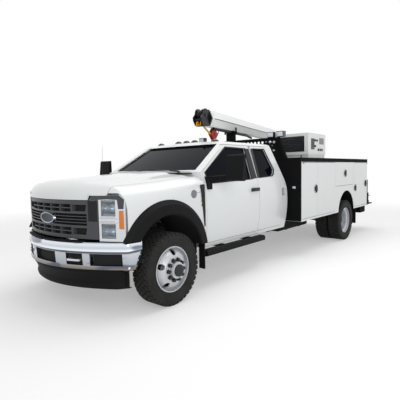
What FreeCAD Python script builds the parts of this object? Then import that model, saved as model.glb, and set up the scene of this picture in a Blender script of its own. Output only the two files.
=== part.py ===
import FreeCAD, Part
import math
import os

V = FreeCAD.Vector

# Service crane truck. All sizes are millimetres, measured about the front axle on the ground:
# X forward, Y to the driver's left, Z up. put() moves every piece to the middle of the length.

# Whole truck
WHEELBASE = 4877
FRONT_OVERHANG = 970
REAR_OVERHANG = 1720
FIT = 0.3
DOOR_GAP = 10

# Tyres and wheels
TYRE_RADIUS = 405
TYRE_WIDTH = 226
BEAD_RADIUS = 248
FLANGE_RADIUS = 260
RIM_HALF_WIDTH = 95
RIM_WALL = 8
DISC_WALL = 12
DISC_OFFSET = 130
HUB_RADIUS = 90
LUG_CIRCLE_RADIUS = 112.5
LUG_COUNT = 10
HAND_HOLE_COUNT = 5
HAND_HOLE_RADIUS = 33
HAND_HOLE_CIRCLE = 190
FRONT_WHEEL_Y = 950
DUAL_CENTRE_Y = 940

# Axles and frame
AXLE_Z = TYRE_RADIUS
AXLE_TUBE_RADIUS = 52
KINGPIN_Y = 800
KINGPIN_RADIUS = 18
SPINDLE_RADIUS = 38
SPINDLE_GAP = 0.6
RAIL_Y = 432
RAIL_DEPTH = 220
RAIL_FLANGE = 75
RAIL_WALL = 8
RAIL_BOTTOM_Z = 540
RAIL_FRONT_X = 680
RAIL_BACK_X = -6130
SPRING_Y = 530
SPRING_WIDTH = 76
SPRING_THICKNESS = 60
SPRING_HALF_LENGTH = 720

# Cab
CAB_FRONT_X = -640
CAB_BACK_X = -2730
SILL_Z = 515
SILL_Y = 925
CAB_WALL = 75
FLOOR_Z = 780
FLOOR_THICKNESS = 60
BELT_Z = 1310
BELT_Y = 955
BODY_SIDE_Y = 988
ROOF_EDGE_Y = 815
ROOF_EDGE_Z = 1795
ROOF_TOP_Z = 1885
ROOF_CORNER_Z = 1845
ROOF_CROWN = 16
COWL_Z = 1440
FRONT_DOOR_X = -672
FRONT_DOOR_BACK_X = -1880
REAR_DOOR_BACK_X = -2560
DOOR_BOTTOM_Z = 572
DOOR_TOP_Z = 1818
GLASS = 8
DOOR_INNER_Y = 712

# Front clip
HOOD_HALF_WIDTH = 800
HOOD_BACK_X = -545
HOOD_THICKNESS = 40
FENDER_WALL = 32
FENDER_Y = 985
FENDER_FRONT_X = 455
FENDER_BACK_X = -636
ARCH_RADIUS = 518
ARCH_Z = 482
FLARE_WIDTH = 165
FLARE_Y = 1046
FLARE_END_Z = 600
GRILLE_HALF_WIDTH = 598
GRILLE_BOTTOM_Z = 790
GRILLE_TOP_Z = 1135
GRILLE_DEPTH = 55
BUMPER_BOTTOM_Z = 520
BUMPER_TOP_Z = 760
BUMPER_WALL = 60
DAM_BOTTOM_Z = 215
HOOD_OPEN_DEG = 45

# Service body
BODY_FRONT_X = -2830
BODY_LENGTH = 3345
PACK_OUTER_Y = 1190
PACK_INNER_Y = 690
PACK_BOTTOM_Z = 605
PACK_TOP_Z = 1600
PACK_WALL = 40
TOP_RAIL_HEIGHT = 50
BED_FLOOR_Z = 1000
BED_FLOOR_THICKNESS = 40
REAR_ARCH_RADIUS = 435
REAR_ARCH_Z = 575
BODY_DOOR_GAP = 6
HINGE_DEPTH = 12
BODY_DOOR_BOTTOM_Z = 645
BODY_DOOR_TOP_Z = 1568
SHELF_DOOR_BOTTOM_Z = 1122

# Rack, welder, bench
RACK_TOP_Z = 2000
RACK_TUBE = 50
RACK_TOP_Y = 810
RACK_FOOT_Y = 950
SADDLE_Y = -180

# Crane
CRANE_X = -5850
CRANE_Y = -930
BOOM_YAW_DEG = 13.8
BOOM_Z = 2295
BOOM_HALF_HEIGHT = 125
BOOM_HALF_WIDTH = 112
BOOM_FLAT = 62
BOOM_WALL = 8
BOOM_FIT = 0.5
BOOM_PIVOT_X = -150
BOOM_END_X = 4080
BOOM_STEP = 45
HEAD_LENGTH = 330
LIFT_BASE_X = 150
LIFT_BASE_Z = 2000
LIFT_EYE_X = 900
LIFT_EYE_Z = 2105
LIFT_BARREL_RADIUS = 48
LIFT_EYE_WIDTH = 70
EAR_Y = 126
LIFT_ROD_RADIUS = 28

BODY_BACK_X = BODY_FRONT_X - BODY_LENGTH
RAIL_TOP_Z = RAIL_BOTTOM_Z + RAIL_DEPTH
REAR_AXLE_X = -WHEELBASE
ORIGIN_X = (FRONT_OVERHANG - WHEELBASE - REAR_OVERHANG) / 2.0


# Outlines and solids

def outline(steps, place):
    """A closed face: each step is a corner, or a (through, end) pair for an arc."""
    start = place(*steps[0])
    first = start
    edges = []
    for step in steps[1:]:
        if isinstance(step[0], tuple):
            end = place(*step[1])
            edges.append(Part.Arc(start, place(*step[0]), end).toShape())
        else:
            end = place(*step)
            edges.append(Part.makeLine(start, end))
        start = end
    if (start - first).Length > 1e-6:
        edges.append(Part.makeLine(start, first))
    return Part.Face(Part.Wire(edges))


def across(steps, y0, y1):
    """An outline seen from the side (X, Z), carried across the truck."""
    return outline(steps, lambda x, z: V(x, y0, z)).extrude(V(0, y1 - y0, 0))


def along(steps, x0, x1):
    """An outline seen from the front (Y, Z), carried along the truck."""
    return outline(steps, lambda y, z: V(x0, y, z)).extrude(V(x1 - x0, 0, 0))


def upward(steps, z0, z1):
    """An outline seen from above (X, Y), carried upwards."""
    return outline(steps, lambda x, y: V(x, y, z0)).extrude(V(0, 0, z1 - z0))


def box(x0, x1, y0, y1, z0, z1):
    return Part.makeBox(x1 - x0, y1 - y0, z1 - z0, V(x0, y0, z0))


def rod(start, end, radius):
    axis = end - start
    return Part.makeCylinder(radius, axis.Length, start, axis)


def turned(steps, x, z):
    """A profile of (radius, Y) corners turned about a wheel's axle."""
    face = outline(steps, lambda r, y: V(x, y, z + r))
    return face.revolve(V(x, 0, z), V(0, 1, 0), 360)


def fused(shapes):
    return shapes[0].multiFuse(shapes[1:]).removeSplitter()


def mirrored(shape):
    return shape.mirror(V(0, 0, 0), V(0, 1, 0))


def both(shape):
    return [shape, mirrored(shape)]


def put(name, shapes):
    """Write one piece, moved so that X = 0 is the middle of the truck."""
    solids = []
    for shape in shapes:
        solids.extend(shape.Solids)
    piece = solids[0] if len(solids) == 1 else Part.makeCompound(solids)
    piece = piece.copy()
    piece.translate(V(-ORIGIN_X, 0, 0))
    piece.exportStep("parts/" + name + ".step")


# Frame, axles and engine

def frame_rails():
    top = RAIL_TOP_Z
    inner = RAIL_Y - RAIL_FLANGE
    channel = [(RAIL_Y, RAIL_BOTTOM_Z), (RAIL_Y, top), (inner, top), (inner, top - RAIL_WALL),
               (RAIL_Y - RAIL_WALL, top - RAIL_WALL), (RAIL_Y - RAIL_WALL, RAIL_BOTTOM_Z + RAIL_WALL),
               (inner, RAIL_BOTTOM_Z + RAIL_WALL), (inner, RAIL_BOTTOM_Z)]
    pieces = both(along(channel, RAIL_BACK_X, RAIL_FRONT_X))
    web = RAIL_Y - RAIL_WALL
    for x in (600, -1250, -2300, -3500, -4300, -5450, -6080):
        pieces.append(box(x - 35, x + 35, -web, web, top - 80, top - RAIL_WALL))
    for x in (-900, -1700, -2550):
        for side in (1, -1):
            pieces.append(rod(V(x, side * 395, top - 1), V(x, side * 395, FLOOR_Z), 42))
    return fused(pieces)


def housing(centre, radius):
    """A differential's round housing, coned on both sides."""
    waist = radius * 0.4
    pieces = [rod(centre - V(0, waist, 0), centre + V(0, waist, 0), radius)]
    for side in (1, -1):
        pieces.append(Part.makeCone(radius, AXLE_TUBE_RADIUS, radius * 0.7, centre + V(0, side * waist, 0),
                                    V(0, side, 0)))
    return fused(pieces)


def front_axle():
    z = AXLE_Z
    pieces = [rod(V(0, -KINGPIN_Y + 60, z), V(0, KINGPIN_Y - 60, z), AXLE_TUBE_RADIUS - 8)]
    pieces.append(housing(V(0, -220, z), 125))
    for side in (1, -1):
        y = side * KINGPIN_Y
        for z0 in (z - 105, z + 70):
            pieces.append(Part.makeCylinder(42, 35, V(0, y, z0)))
            pieces.append(box(-40, 40, min(y, y - side * 90), max(y, y - side * 90), z0, z0 + 35))
        web = along([(side * (KINGPIN_Y - 90), z - 105), (side * (KINGPIN_Y - 62), z - 105),
                     (side * (KINGPIN_Y - 62), z + 105), (side * (KINGPIN_Y - 90), z + 105)], -32, 32)
        pieces.append(web)
        tower = side * SPRING_Y
        pieces.append(rod(V(0, tower, z + 20), V(0, tower, RAIL_TOP_Z + 60), 62))
        bracket = box(-70, 70, min(side * RAIL_Y, tower), max(side * RAIL_Y, tower),
                      RAIL_TOP_Z - 60, RAIL_TOP_Z + 60)
        pieces.append(bracket)
        arm = across([(0, z - 30), (0, z + 30), (-880, RAIL_BOTTOM_Z + 80), (-880, RAIL_BOTTOM_Z + 20)],
                     tower - 25, tower + 25)
        pieces.append(arm)
        pieces.append(box(-930, -830, min(side * RAIL_Y, tower + side * 25),
                          max(side * RAIL_Y, tower + side * 25), RAIL_BOTTOM_Z + 10, RAIL_BOTTOM_Z + 120))
    body = fused(pieces)
    for side in (1, -1):
        body = body.cut(Part.makeCylinder(KINGPIN_RADIUS + FIT, 400, V(0, side * KINGPIN_Y, z - 200)))
    return body


def knuckle():
    """The left knuckle: a post on the kingpin and the spindle for the hub."""
    z = AXLE_Z
    post = Part.makeCylinder(40, 135, V(0, KINGPIN_Y, z - 67.5))
    pin = Part.makeCylinder(KINGPIN_RADIUS, 206, V(0, KINGPIN_Y, z - 103))
    spindle = rod(V(0, KINGPIN_Y, z), V(0, FRONT_WHEEL_Y + 110, z), SPINDLE_RADIUS)
    arm = box(-190, -20, KINGPIN_Y - 22, KINGPIN_Y + 22, z - 40, z - 10)
    return fused([post, pin, spindle, arm])


def leaf_spring():
    """One rear spring pack, bowed down to the axle, with its hangers on the rail."""
    x = REAR_AXLE_X
    low = AXLE_Z + AXLE_TUBE_RADIUS + 20
    high = RAIL_BOTTOM_Z + 60
    half = SPRING_HALF_LENGTH
    steps = [(x - half, high), ((x, low), (x + half, high)), (x + half, high + 22),
             ((x, low + SPRING_THICKNESS), (x - half, high + 22))]
    pieces = [across(steps, SPRING_Y - SPRING_WIDTH / 2, SPRING_Y + SPRING_WIDTH / 2)]
    for end in (x - half, x + half):
        pieces.append(box(end - 45, end + 45, RAIL_Y, SPRING_Y + SPRING_WIDTH / 2, high - 20, RAIL_TOP_Z - 20))
    pieces.append(box(x - 60, x + 60, SPRING_Y - SPRING_WIDTH / 2, SPRING_Y + SPRING_WIDTH / 2,
                      AXLE_Z, low + SPRING_THICKNESS))
    return fused(pieces)


def rear_axle():
    x = REAR_AXLE_X
    pieces = [rod(V(x, -DUAL_CENTRE_Y + 62, AXLE_Z), V(x, DUAL_CENTRE_Y - 62, AXLE_Z), AXLE_TUBE_RADIUS)]
    pieces.append(housing(V(x, 0, AXLE_Z), 150))
    pieces.append(rod(V(x, 0, AXLE_Z), V(x + 260, 0, AXLE_Z + 15), 68))
    for side in both(leaf_spring()):
        pieces.append(side)
    spindle = rod(V(x, -DUAL_CENTRE_Y - 60, AXLE_Z), V(x, DUAL_CENTRE_Y + 60, AXLE_Z), SPINDLE_RADIUS)
    pieces.append(spindle)
    return fused(pieces)


def engine_block():
    web = RAIL_Y - RAIL_WALL
    block = box(-470, 330, -300, 300, 585, 1180)
    heads = across([(-430, 1180), (290, 1180), (250, 1260), (-390, 1260)], -240, 240)
    gearbox = rod(V(-470, 0, 645), V(-1130, 0, 630), 115)
    shaft = rod(V(-1130, 0, 612), V(REAR_AXLE_X + 268, 0, AXLE_Z + 15), 45)
    mounts = box(-200, -80, -web + FIT, web - FIT, 620, 690)
    return fused([block, heads, gearbox, shaft, mounts])


# Wheels

def tyre(y, outward):
    """A tyre seated between the rim's flanges; outward is the side that faces out."""
    bead = BEAD_RADIUS + FIT
    seat = RIM_HALF_WIDTH - RIM_WALL - FIT
    half = TYRE_WIDTH / 2.0
    crown = TYRE_RADIUS
    side = [(bead, seat), (FLANGE_RADIUS + 4, seat), (296, half - 7), (338, half), (372, half - 4),
            (crown - 14, half - 14), (crown, half - 38)]
    steps = [(r, -off) for r, off in side] + [(r, off) for r, off in reversed(side)]
    return turned([flip(step, y, outward) for step in steps], 0, AXLE_Z)


def flip(step, y, outward):
    """Move a (radius, Y) corner to a wheel's place, facing out or in."""
    return (step[0], y + outward * step[1])


def rim(y, outward):
    """A pressed disc wheel: barrel with its drop well, and a coned disc with hand holes."""
    flange = RIM_HALF_WIDTH
    wall = RIM_WALL
    bead = BEAD_RADIUS
    steps = [(FLANGE_RADIUS, -flange), (FLANGE_RADIUS, -flange + wall), (bead, -flange + wall), (bead, -55),
             (bead - 30, -35), (bead - 30, 5), (bead, 30), (bead, flange - wall),
             (FLANGE_RADIUS, flange - wall), (FLANGE_RADIUS, flange), (bead - wall, flange),
             (bead - wall, 34), (226, 40), (212, 78), (190, 106), (150, DISC_OFFSET), (60, DISC_OFFSET),
             (60, DISC_OFFSET - DISC_WALL), (145, DISC_OFFSET - DISC_WALL), (181, 96), (200, 70), (208, 30),
             (208, -42), (bead - wall, -60), (bead - wall, -flange)]
    shape = turned([flip(step, y, outward) for step in steps], 0, AXLE_Z)
    for number in range(HAND_HOLE_COUNT):
        turn = math.radians(90 + 360.0 * number / HAND_HOLE_COUNT)
        centre = V(HAND_HOLE_CIRCLE * math.cos(turn), y, AXLE_Z + HAND_HOLE_CIRCLE * math.sin(turn))
        hole = rod(centre, centre + V(0, outward * (DISC_OFFSET + 20), 0), HAND_HOLE_RADIUS)
        shape = shape.cut(hole)
    return shape


def hub(mount_y, inner_y, reach):
    """Hub drum, end cap, brake disc and lug nuts on the left side, bored for the spindle."""
    z = AXLE_Z
    pieces = [rod(V(0, inner_y, z), V(0, mount_y, z), 135)]
    pieces.append(rod(V(0, mount_y - 1, z), V(0, mount_y + reach, z), HUB_RADIUS - 25))
    pieces.append(rod(V(0, mount_y - 1, z), V(0, mount_y + reach * 0.6, z), HUB_RADIUS))
    for number in range(LUG_COUNT):
        turn = 2 * math.pi * number / LUG_COUNT
        centre = V(LUG_CIRCLE_RADIUS * math.cos(turn), mount_y, z + LUG_CIRCLE_RADIUS * math.sin(turn))
        nut = Part.makePolygon([centre + V(16 * math.cos(math.radians(a)), 0, 16 * math.sin(math.radians(a)))
                                for a in range(0, 361, 60)])
        pieces.append(Part.Face(nut).extrude(V(0, 30, 0)))
    return pieces


def front_wheel():
    mount = FRONT_WHEEL_Y + DISC_OFFSET
    pieces = [rim(FRONT_WHEEL_Y, 1)] + hub(mount, FRONT_WHEEL_Y - 20, 62)
    shape = fused(pieces)
    bore = rod(V(0, 0, AXLE_Z), V(0, FRONT_WHEEL_Y + 115, AXLE_Z), SPINDLE_RADIUS + SPINDLE_GAP)
    return shape.cut(bore)


def dual_wheel():
    """Two discs bolted back to back on one hub."""
    outer_y = DUAL_CENTRE_Y + DISC_OFFSET
    inner_y = DUAL_CENTRE_Y - DISC_OFFSET
    pieces = [rim(outer_y, -1), rim(inner_y, 1)] + hub(DUAL_CENTRE_Y + DISC_WALL, DUAL_CENTRE_Y - 60, 130)
    shape = fused(pieces)
    bore = rod(V(0, 0, AXLE_Z), V(0, DUAL_CENTRE_Y + 65, AXLE_Z), SPINDLE_RADIUS + SPINDLE_GAP)
    return shape.cut(bore)


def moved(shape, x):
    copy = shape.copy()
    copy.translate(V(x, 0, 0))
    return copy


# Cab

def cab_section(inset, floor):
    """The cab seen from the front: bowed sides, leaning glass and a crowned roof."""
    side = BODY_SIDE_Y - inset
    belt = BELT_Y - inset
    edge = ROOF_EDGE_Y - inset
    corner = edge - 26
    brow = edge - 90
    corner_z = ROOF_CORNER_Z - inset * 0.5
    brow_z = ROOF_TOP_Z - ROOF_CROWN - inset
    section = [(SILL_Y - inset, floor), ((side, 890), (belt, BELT_Z)), (edge, ROOF_EDGE_Z),
               ((corner, corner_z), (brow, brow_z)), ((0, ROOF_TOP_Z - inset), (-brow, brow_z)),
               ((-corner, corner_z), (-edge, ROOF_EDGE_Z)), (-belt, BELT_Z),
               ((-side, 890), (-(SILL_Y - inset), floor))]
    return along(section, CAB_BACK_X - 50, CAB_FRONT_X + 150)


def cab_envelope(inset, floor):
    """The cab's outer form, drawn in by inset and cut off at floor."""
    body = cab_section(inset, floor)
    profile = [(CAB_FRONT_X - inset * 0.4, floor), (CAB_FRONT_X - inset * 0.4, COWL_Z + 80),
               (-1200, 1960), (-2430 + inset, 1960), (-2480 + inset, 1850), (-2695 + inset, 1290),
               (CAB_BACK_X + inset, 1180), (CAB_BACK_X + inset, floor)]
    body = body.common(across(profile, -1100, 1100))
    return body.common(raked_front(inset))


def raked_front(inset):
    """The windscreen's plane: a bowed edge carried back along the rake, joined to the roof's front."""
    base = COWL_Z - 1300
    rake = V(-1.7, 0, 1.0)
    shift = 1.7 * 1300
    steps = [(-640 - inset * 1.9 + shift, -1100), ((-560 - inset * 1.9 + shift, 0),
             (-640 - inset * 1.9 + shift, 1100)), (-9000, 1100), (-9000, -1100)]
    face = outline(steps, lambda x, y: V(x, y, base))
    return face.extrude(rake * 2200)


FRONT_DOOR = [(FRONT_DOOR_X, DOOR_BOTTOM_Z), (FRONT_DOOR_X, 1452), (-1252, DOOR_TOP_Z),
              (FRONT_DOOR_BACK_X + 36, DOOR_TOP_Z), (FRONT_DOOR_BACK_X, BELT_Z),
              (FRONT_DOOR_BACK_X, DOOR_BOTTOM_Z)]
REAR_DOOR = [(FRONT_DOOR_BACK_X - DOOR_GAP, DOOR_BOTTOM_Z), (FRONT_DOOR_BACK_X - DOOR_GAP, BELT_Z),
             (FRONT_DOOR_BACK_X - DOOR_GAP - 4, DOOR_TOP_Z), (-2325, DOOR_TOP_Z), (-2465, 1452),
             (REAR_DOOR_BACK_X, 1190), (REAR_DOOR_BACK_X, DOOR_BOTTOM_Z)]
DOORWAY = [(FRONT_DOOR_X + 6, DOOR_BOTTOM_Z - 6), (FRONT_DOOR_X + 6, 1456), (-1250, DOOR_TOP_Z + 6),
           (-2329, DOOR_TOP_Z + 6), (-2471, 1453), (REAR_DOOR_BACK_X - 6, 1191),
           (REAR_DOOR_BACK_X - 6, DOOR_BOTTOM_Z - 6)]
FRONT_WINDOW = [(-770, 1312), (-728, 1452), (-1272, 1778), (-1745, 1778), (-1745, 1338)]
REAR_WINDOW = [(-1950, 1352), (-1950, 1778), (-2290, 1778), (-2425, 1470), (-2385, 1400), (-2330, 1372)]


def cab_shell():
    shell = cab_envelope(0, SILL_Z).cut(cab_envelope(CAB_WALL, FLOOR_Z + FLOOR_THICKNESS))
    shell = shell.cut(box(-3000, 0, -800, 800, 0, FLOOR_Z))
    sill_top = FLOOR_Z + FLOOR_THICKNESS
    inside = cab_section(CAB_WALL + 6, SILL_Z - 20)
    for side in (1, -1):
        doorway = across(DOORWAY, side * DOOR_INNER_Y, side * 1200)
        shell = shell.cut(doorway.cut(inside))
        shell = shell.cut(doorway.common(box(-3000, 0, -1300, 1300, sill_top, 2000)))
    screen = windscreen_opening(0)
    rear = along([(-560, 1395), (-540, 1740), (540, 1740), (560, 1395)], -2900, -2300)
    return shell.cut(screen).cut(rear)


def windscreen_opening(inset):
    steps = [(-805 + inset, 1482 + inset), (-690 + inset, 1836 - inset), (690 - inset, 1836 - inset),
             (805 - inset, 1482 + inset)]
    return along(steps, -1480, 0)


def glass_band():
    """The thin layer of the cab's form that every pane is cut from."""
    return cab_envelope(24, SILL_Z).cut(cab_envelope(24 + GLASS, SILL_Z + 1))


def cab_glass(band):
    screen = band.common(windscreen_opening(0))
    rear = band.common(along([(-560, 1395), (-540, 1740), (540, 1740), (560, 1395)], -2900, -2300))
    return [screen, rear]


def door_skin():
    """The cab's side walls alone, as thick as the doors."""
    return cab_envelope(0, SILL_Z - 10).cut(cab_section(CAB_WALL, SILL_Z - 20))


def door(skin, shape, window):
    """A left door: the whole thickness of the cab's wall, with its window cut."""
    body = skin.common(across(shape, DOOR_INNER_Y, 1200))
    return body.cut(across(window, 500, 1200))


def handle(x):
    grip = across([(x - 105, 1165), (x - 105, 1200), (x + 105, 1208), (x + 105, 1173)], 968, 1006)
    return grip.cut(across([(x - 70, 1150), (x - 70, 1215), (x + 70, 1215), (x + 70, 1150)], 940, 992))


def mirror(body):
    """Tow mirror on twin arms, its foot seated on the door's front corner."""
    head = across([(-800, 1352), (-835, 1640), ((-850, 1655), (-872, 1650)), (-880, 1360),
                   ((-860, 1345), (-815, 1343))], 1180, 1425)
    arms = [rod(V(-745, 930, 1385), V(-845, 1190, 1400), 16), rod(V(-745, 930, 1330), V(-845, 1190, 1362), 16)]
    foot = across([(-700, 1240), (-700, 1400), (-790, 1400), (-790, 1240)], 900, 982)
    return fused([head, foot] + arms).cut(body)


def cab_interior():
    floor = FLOOR_Z + FLOOR_THICKNESS
    solids = []
    for y in (-420, 420):
        base = box(-1750, -1240, y - 250, y + 250, floor, floor + 260)
        back = across([(-1680, floor + 250), (-1780, floor + 250), (-1900, 1560), (-1810, 1570)],
                      y - 235, y + 235)
        head = across([(-1825, 1580), (-1905, 1570), (-1920, 1720), (-1850, 1730)], y - 130, y + 130)
        stem = across([(-1840, 1540), (-1870, 1540), (-1895, 1600), (-1860, 1600)], y - 60, y + 60)
        solids.append(fused([base, back, head, stem]))
    bench = across([(-2120, floor), (-2120, floor + 270), (-2440, floor + 270), (-2480, 1370),
                    (-2570, 1370), (-2600, floor)], -620, 620)
    solids.append(bench)
    wall = CAB_FRONT_X - CAB_WALL * 0.4 - FIT
    dash = across([(wall, 1180), (-900, 1180), (-1010, 1230), (-1010, 1330), (-760, 1390), (-720, 1385),
                   (wall, 1355)], -845, 845)
    solids.append(fused([dash, steering_wheel()]))
    return solids


def steering_wheel():
    centre = V(-1180, 420, 1290)
    slope = V(-0.86, 0, 0.5)
    ring = Part.makeCylinder(200, 26, centre - slope * 13, slope)
    ring = ring.cut(Part.makeCylinder(174, 60, centre - slope * 30, slope))
    column = rod(centre, V(-980, 420, 1200), 30)
    spoke = box(-12, 12, -190, 190, -22, 22)
    spoke.rotate(V(0, 0, 0), V(0, 1, 0), -30)
    spoke.translate(centre)
    return fused([ring, column, spoke])


# Hood, fenders, grille, lamps and bumper

def nose_line(offset):
    """Plan of the front: a bowed line from corner to corner, moved forward by offset."""
    points = [V(470, -985, 0), V(620, -720, 0), (V(760, -400, 0)), V(818, 0, 0),
              V(760, 400, 0), V(620, 720, 0), V(470, 985, 0)]
    curve = Part.BSplineCurve()
    curve.interpolate([p + V(offset, 0, 0) for p in points])
    return curve.toShape()


def nose_band(front, back, z0, z1):
    """A solid between two parallel nose lines, from z0 to z1."""
    a = nose_line(front)
    b = nose_line(back)
    ends = [Part.makeLine(a.Vertexes[0].Point, b.Vertexes[0].Point),
            Part.makeLine(a.Vertexes[-1].Point, b.Vertexes[-1].Point)]
    face = Part.Face(Part.Wire(Part.__sortEdges__([a, b] + ends)))
    face.translate(V(0, 0, z0))
    return face.extrude(V(0, 0, z1 - z0))


HOOD_STATIONS = [(HOOD_BACK_X, 1412, 1452), (0, 1305, 1392), (450, 1205, 1318), (900, 1125, 1200)]


def hood():
    sections = []
    for x, edge, crown in HOOD_STATIONS:
        w = HOOD_HALF_WIDTH
        t = HOOD_THICKNESS
        steps = [(-w, edge), ((0, crown), (w, edge)), (w, edge - t), ((0, crown - t), (-w, edge - t))]
        sections.append(outline(steps, lambda y, z: V(x, y, z)).OuterWire)
    panel = Part.makeLoft(sections, True, False)
    return panel.common(nose_band(52, -2500, 900, 1600))


def fender_sections(inset):
    sections = []
    for x, edge, crown in [(FENDER_BACK_X, 1436, 0)] + HOOD_STATIONS[1:3] + [(FENDER_FRONT_X + 120, 1180, 0)]:
        inner = HOOD_HALF_WIDTH + 6
        outer = FENDER_Y - inset
        steps = [(inner, 620), (inner, edge - inset - 3), (outer - 60, edge - 42 - inset),
                 (outer - 12, edge - 120 - inset), (outer, edge - 250), (outer, 620)]
        sections.append(outline(steps, lambda y, z: V(x, y, z)).OuterWire)
    return Part.makeLoft(sections, True, False)


def fender():
    skin = fender_sections(0).cut(fender_sections(FENDER_WALL))
    skin = skin.common(box(FENDER_BACK_X, FENDER_FRONT_X, 0, 1200, 640, 1600))
    hole = Part.makeCylinder(ARCH_RADIUS + 60, 600, V(0, 700, ARCH_Z), V(0, 1, 0))
    skin = skin.cut(hole)
    return max(skin.Solids, key=lambda solid: solid.Volume)


def flare():
    """A moulded arch: its section turned round the wheel opening."""
    outer = ARCH_RADIUS + FLARE_WIDTH
    steps = [(ARCH_RADIUS, 930), (ARCH_RADIUS, FLARE_Y - 14), (ARCH_RADIUS + 16, FLARE_Y),
             (outer - 50, FLARE_Y - 16), (outer, FENDER_Y + FIT), (ARCH_RADIUS + 60, FENDER_Y + FIT),
             (ARCH_RADIUS + 60, 930)]
    band = turned(steps, 0, ARCH_Z)
    keep = across([(-900, FLARE_END_Z), (-900, 1400), (900, 1400), (900, 775), (300, 775), (0, ARCH_Z),
                   (-300, FLARE_END_Z)],
                  800, 1200)
    return band.common(keep)


def grille():
    """Two rows of framed slots either side of a barred centre band."""
    half = GRILLE_HALF_WIDTH
    body = nose_band(45, 45 - GRILLE_DEPTH, GRILLE_BOTTOM_Z, GRILLE_TOP_Z)
    body = body.common(box(0, 1200, -half, half, 700, 1300))
    cuts = []
    columns = 10
    pitch = 2.0 * (half - 30) / columns
    for low in (GRILLE_BOTTOM_Z + 30, GRILLE_BOTTOM_Z + 75, GRILLE_TOP_Z - 113, GRILLE_TOP_Z - 68):
        for column in range(columns):
            y = -half + 30 + pitch * column
            cuts.append(box(300, 1200, y + 8, y + pitch - 8, low, low + 32))
    return body.cut(Part.makeCompound(cuts))


def headlamp():
    """Left lamp unit: two stacked pockets in a bright housing, cut to the nose's sweep."""
    inner = GRILLE_HALF_WIDTH + 4
    low = BUMPER_TOP_Z + 6
    steps = [(inner, GRILLE_BOTTOM_Z), (inner, 1130), (806, 1132), (828, 1190), (925, 1205),
             (958, 1120), (938, low + 20), (900, low), (640, low)]
    body = along(steps, FENDER_FRONT_X + FIT, 1000).common(nose_band(35, -260, 700, 1300))
    arch = Part.makeCylinder(ARCH_RADIUS + FLARE_WIDTH + 14, 900, V(0, 400, ARCH_Z), V(0, 1, 0))
    body = body.cut(arch)
    for z in (795, 968):
        pocket = along([(inner + 56, z), (inner + 56, z + 135), (860, z + 135), (860, z)],
                       300, 1000)
        body = body.cut(pocket.common(nose_band(200, -20, 700, 1300)))
    return body


def front_bumper():
    ends = across([(0, BUMPER_BOTTOM_Z), (0, BUMPER_TOP_Z), (1500, BUMPER_TOP_Z), (1500, BUMPER_BOTTOM_Z)],
                  -975, 975)
    front = FRONT_OVERHANG - 818
    body = nose_band(front, front - BUMPER_WALL, BUMPER_BOTTOM_Z, BUMPER_TOP_Z).common(ends)
    shelf = nose_band(front - BUMPER_WALL, front - 170, BUMPER_TOP_Z - 30, BUMPER_TOP_Z).common(ends)
    pieces = [body, shelf]
    for side in (1, -1):
        pieces.append(box(RAIL_FRONT_X, 850, side * 395 - 37, side * 395 + 37, 580, 720).common(
            nose_band(front - 1, -400, 0, 2000)))
    shape = fused(pieces)
    cuts = []
    for side in (1, -1):
        fog = along([(side * 640, 560), (side * 640, 690), (side * 900, 680), (side * 880, 580)], 300, 1200)
        hook = along([(side * 350, 575), (side * 350, 690), (side * 585, 690), (side * 570, 575)], 858, 1200)
        cuts.extend([fog, hook])
    return shape.cut(Part.makeCompound(cuts))


def air_dam():
    front = FRONT_OVERHANG - 818
    body = nose_band(front - 95, front - 135, DAM_BOTTOM_Z, BUMPER_BOTTOM_Z - FIT)
    top = nose_band(front - 30, front - 130, BUMPER_BOTTOM_Z - 40, BUMPER_BOTTOM_Z - FIT)
    return fused([body, top]).common(box(0, 1500, -900, 900, 0, 1000))


def running_board():
    board = along([(905, 400), (895, 485), (990, 490), (1010, 470), (1005, 420)], -2000, -645)
    arms = [box(x - 25, x + 25, RAIL_Y, 910, 440, 480) for x in (-1150, -1800)]
    hangers = [box(x - 25, x + 25, RAIL_Y, RAIL_Y + 30, 440, RAIL_BOTTOM_Z + 90) for x in (-1150, -1800)]
    return fused([board] + arms + hangers)


def mud_flaps():
    front = box(-585, -573, 925, 1015, 280, FLARE_END_Z)
    rear = box(REAR_AXLE_X - 600, REAR_AXLE_X - 588, 700, 1180, 270, PACK_BOTTOM_Z)
    return both(front) + both(rear)


def marker_lamps(roof):
    """Five clearance lamps along the roof's front edge."""
    lamps = []
    for y in (-550, -165, 0, 165, 550):
        z = ROOF_TOP_Z - ROOF_CROWN * (y / 725.0) ** 2
        lamp = across([(-1440, z - 30), (-1350, z - 30), (-1368, z + 16), (-1385, z + 25), (-1430, z + 25)],
                      y - 42, y + 42)
        lamps.append(lamp.cut(roof))
    return lamps


# Service body

SIDE_DOORS = {
    "front": (BODY_FRONT_X - 42, -3472),
    "middle": (-3472 - BODY_DOOR_GAP, -4262),
    "shelf": (-4304, -5238),
    "rear": (-5330, BODY_BACK_X + 48),
}


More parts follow.
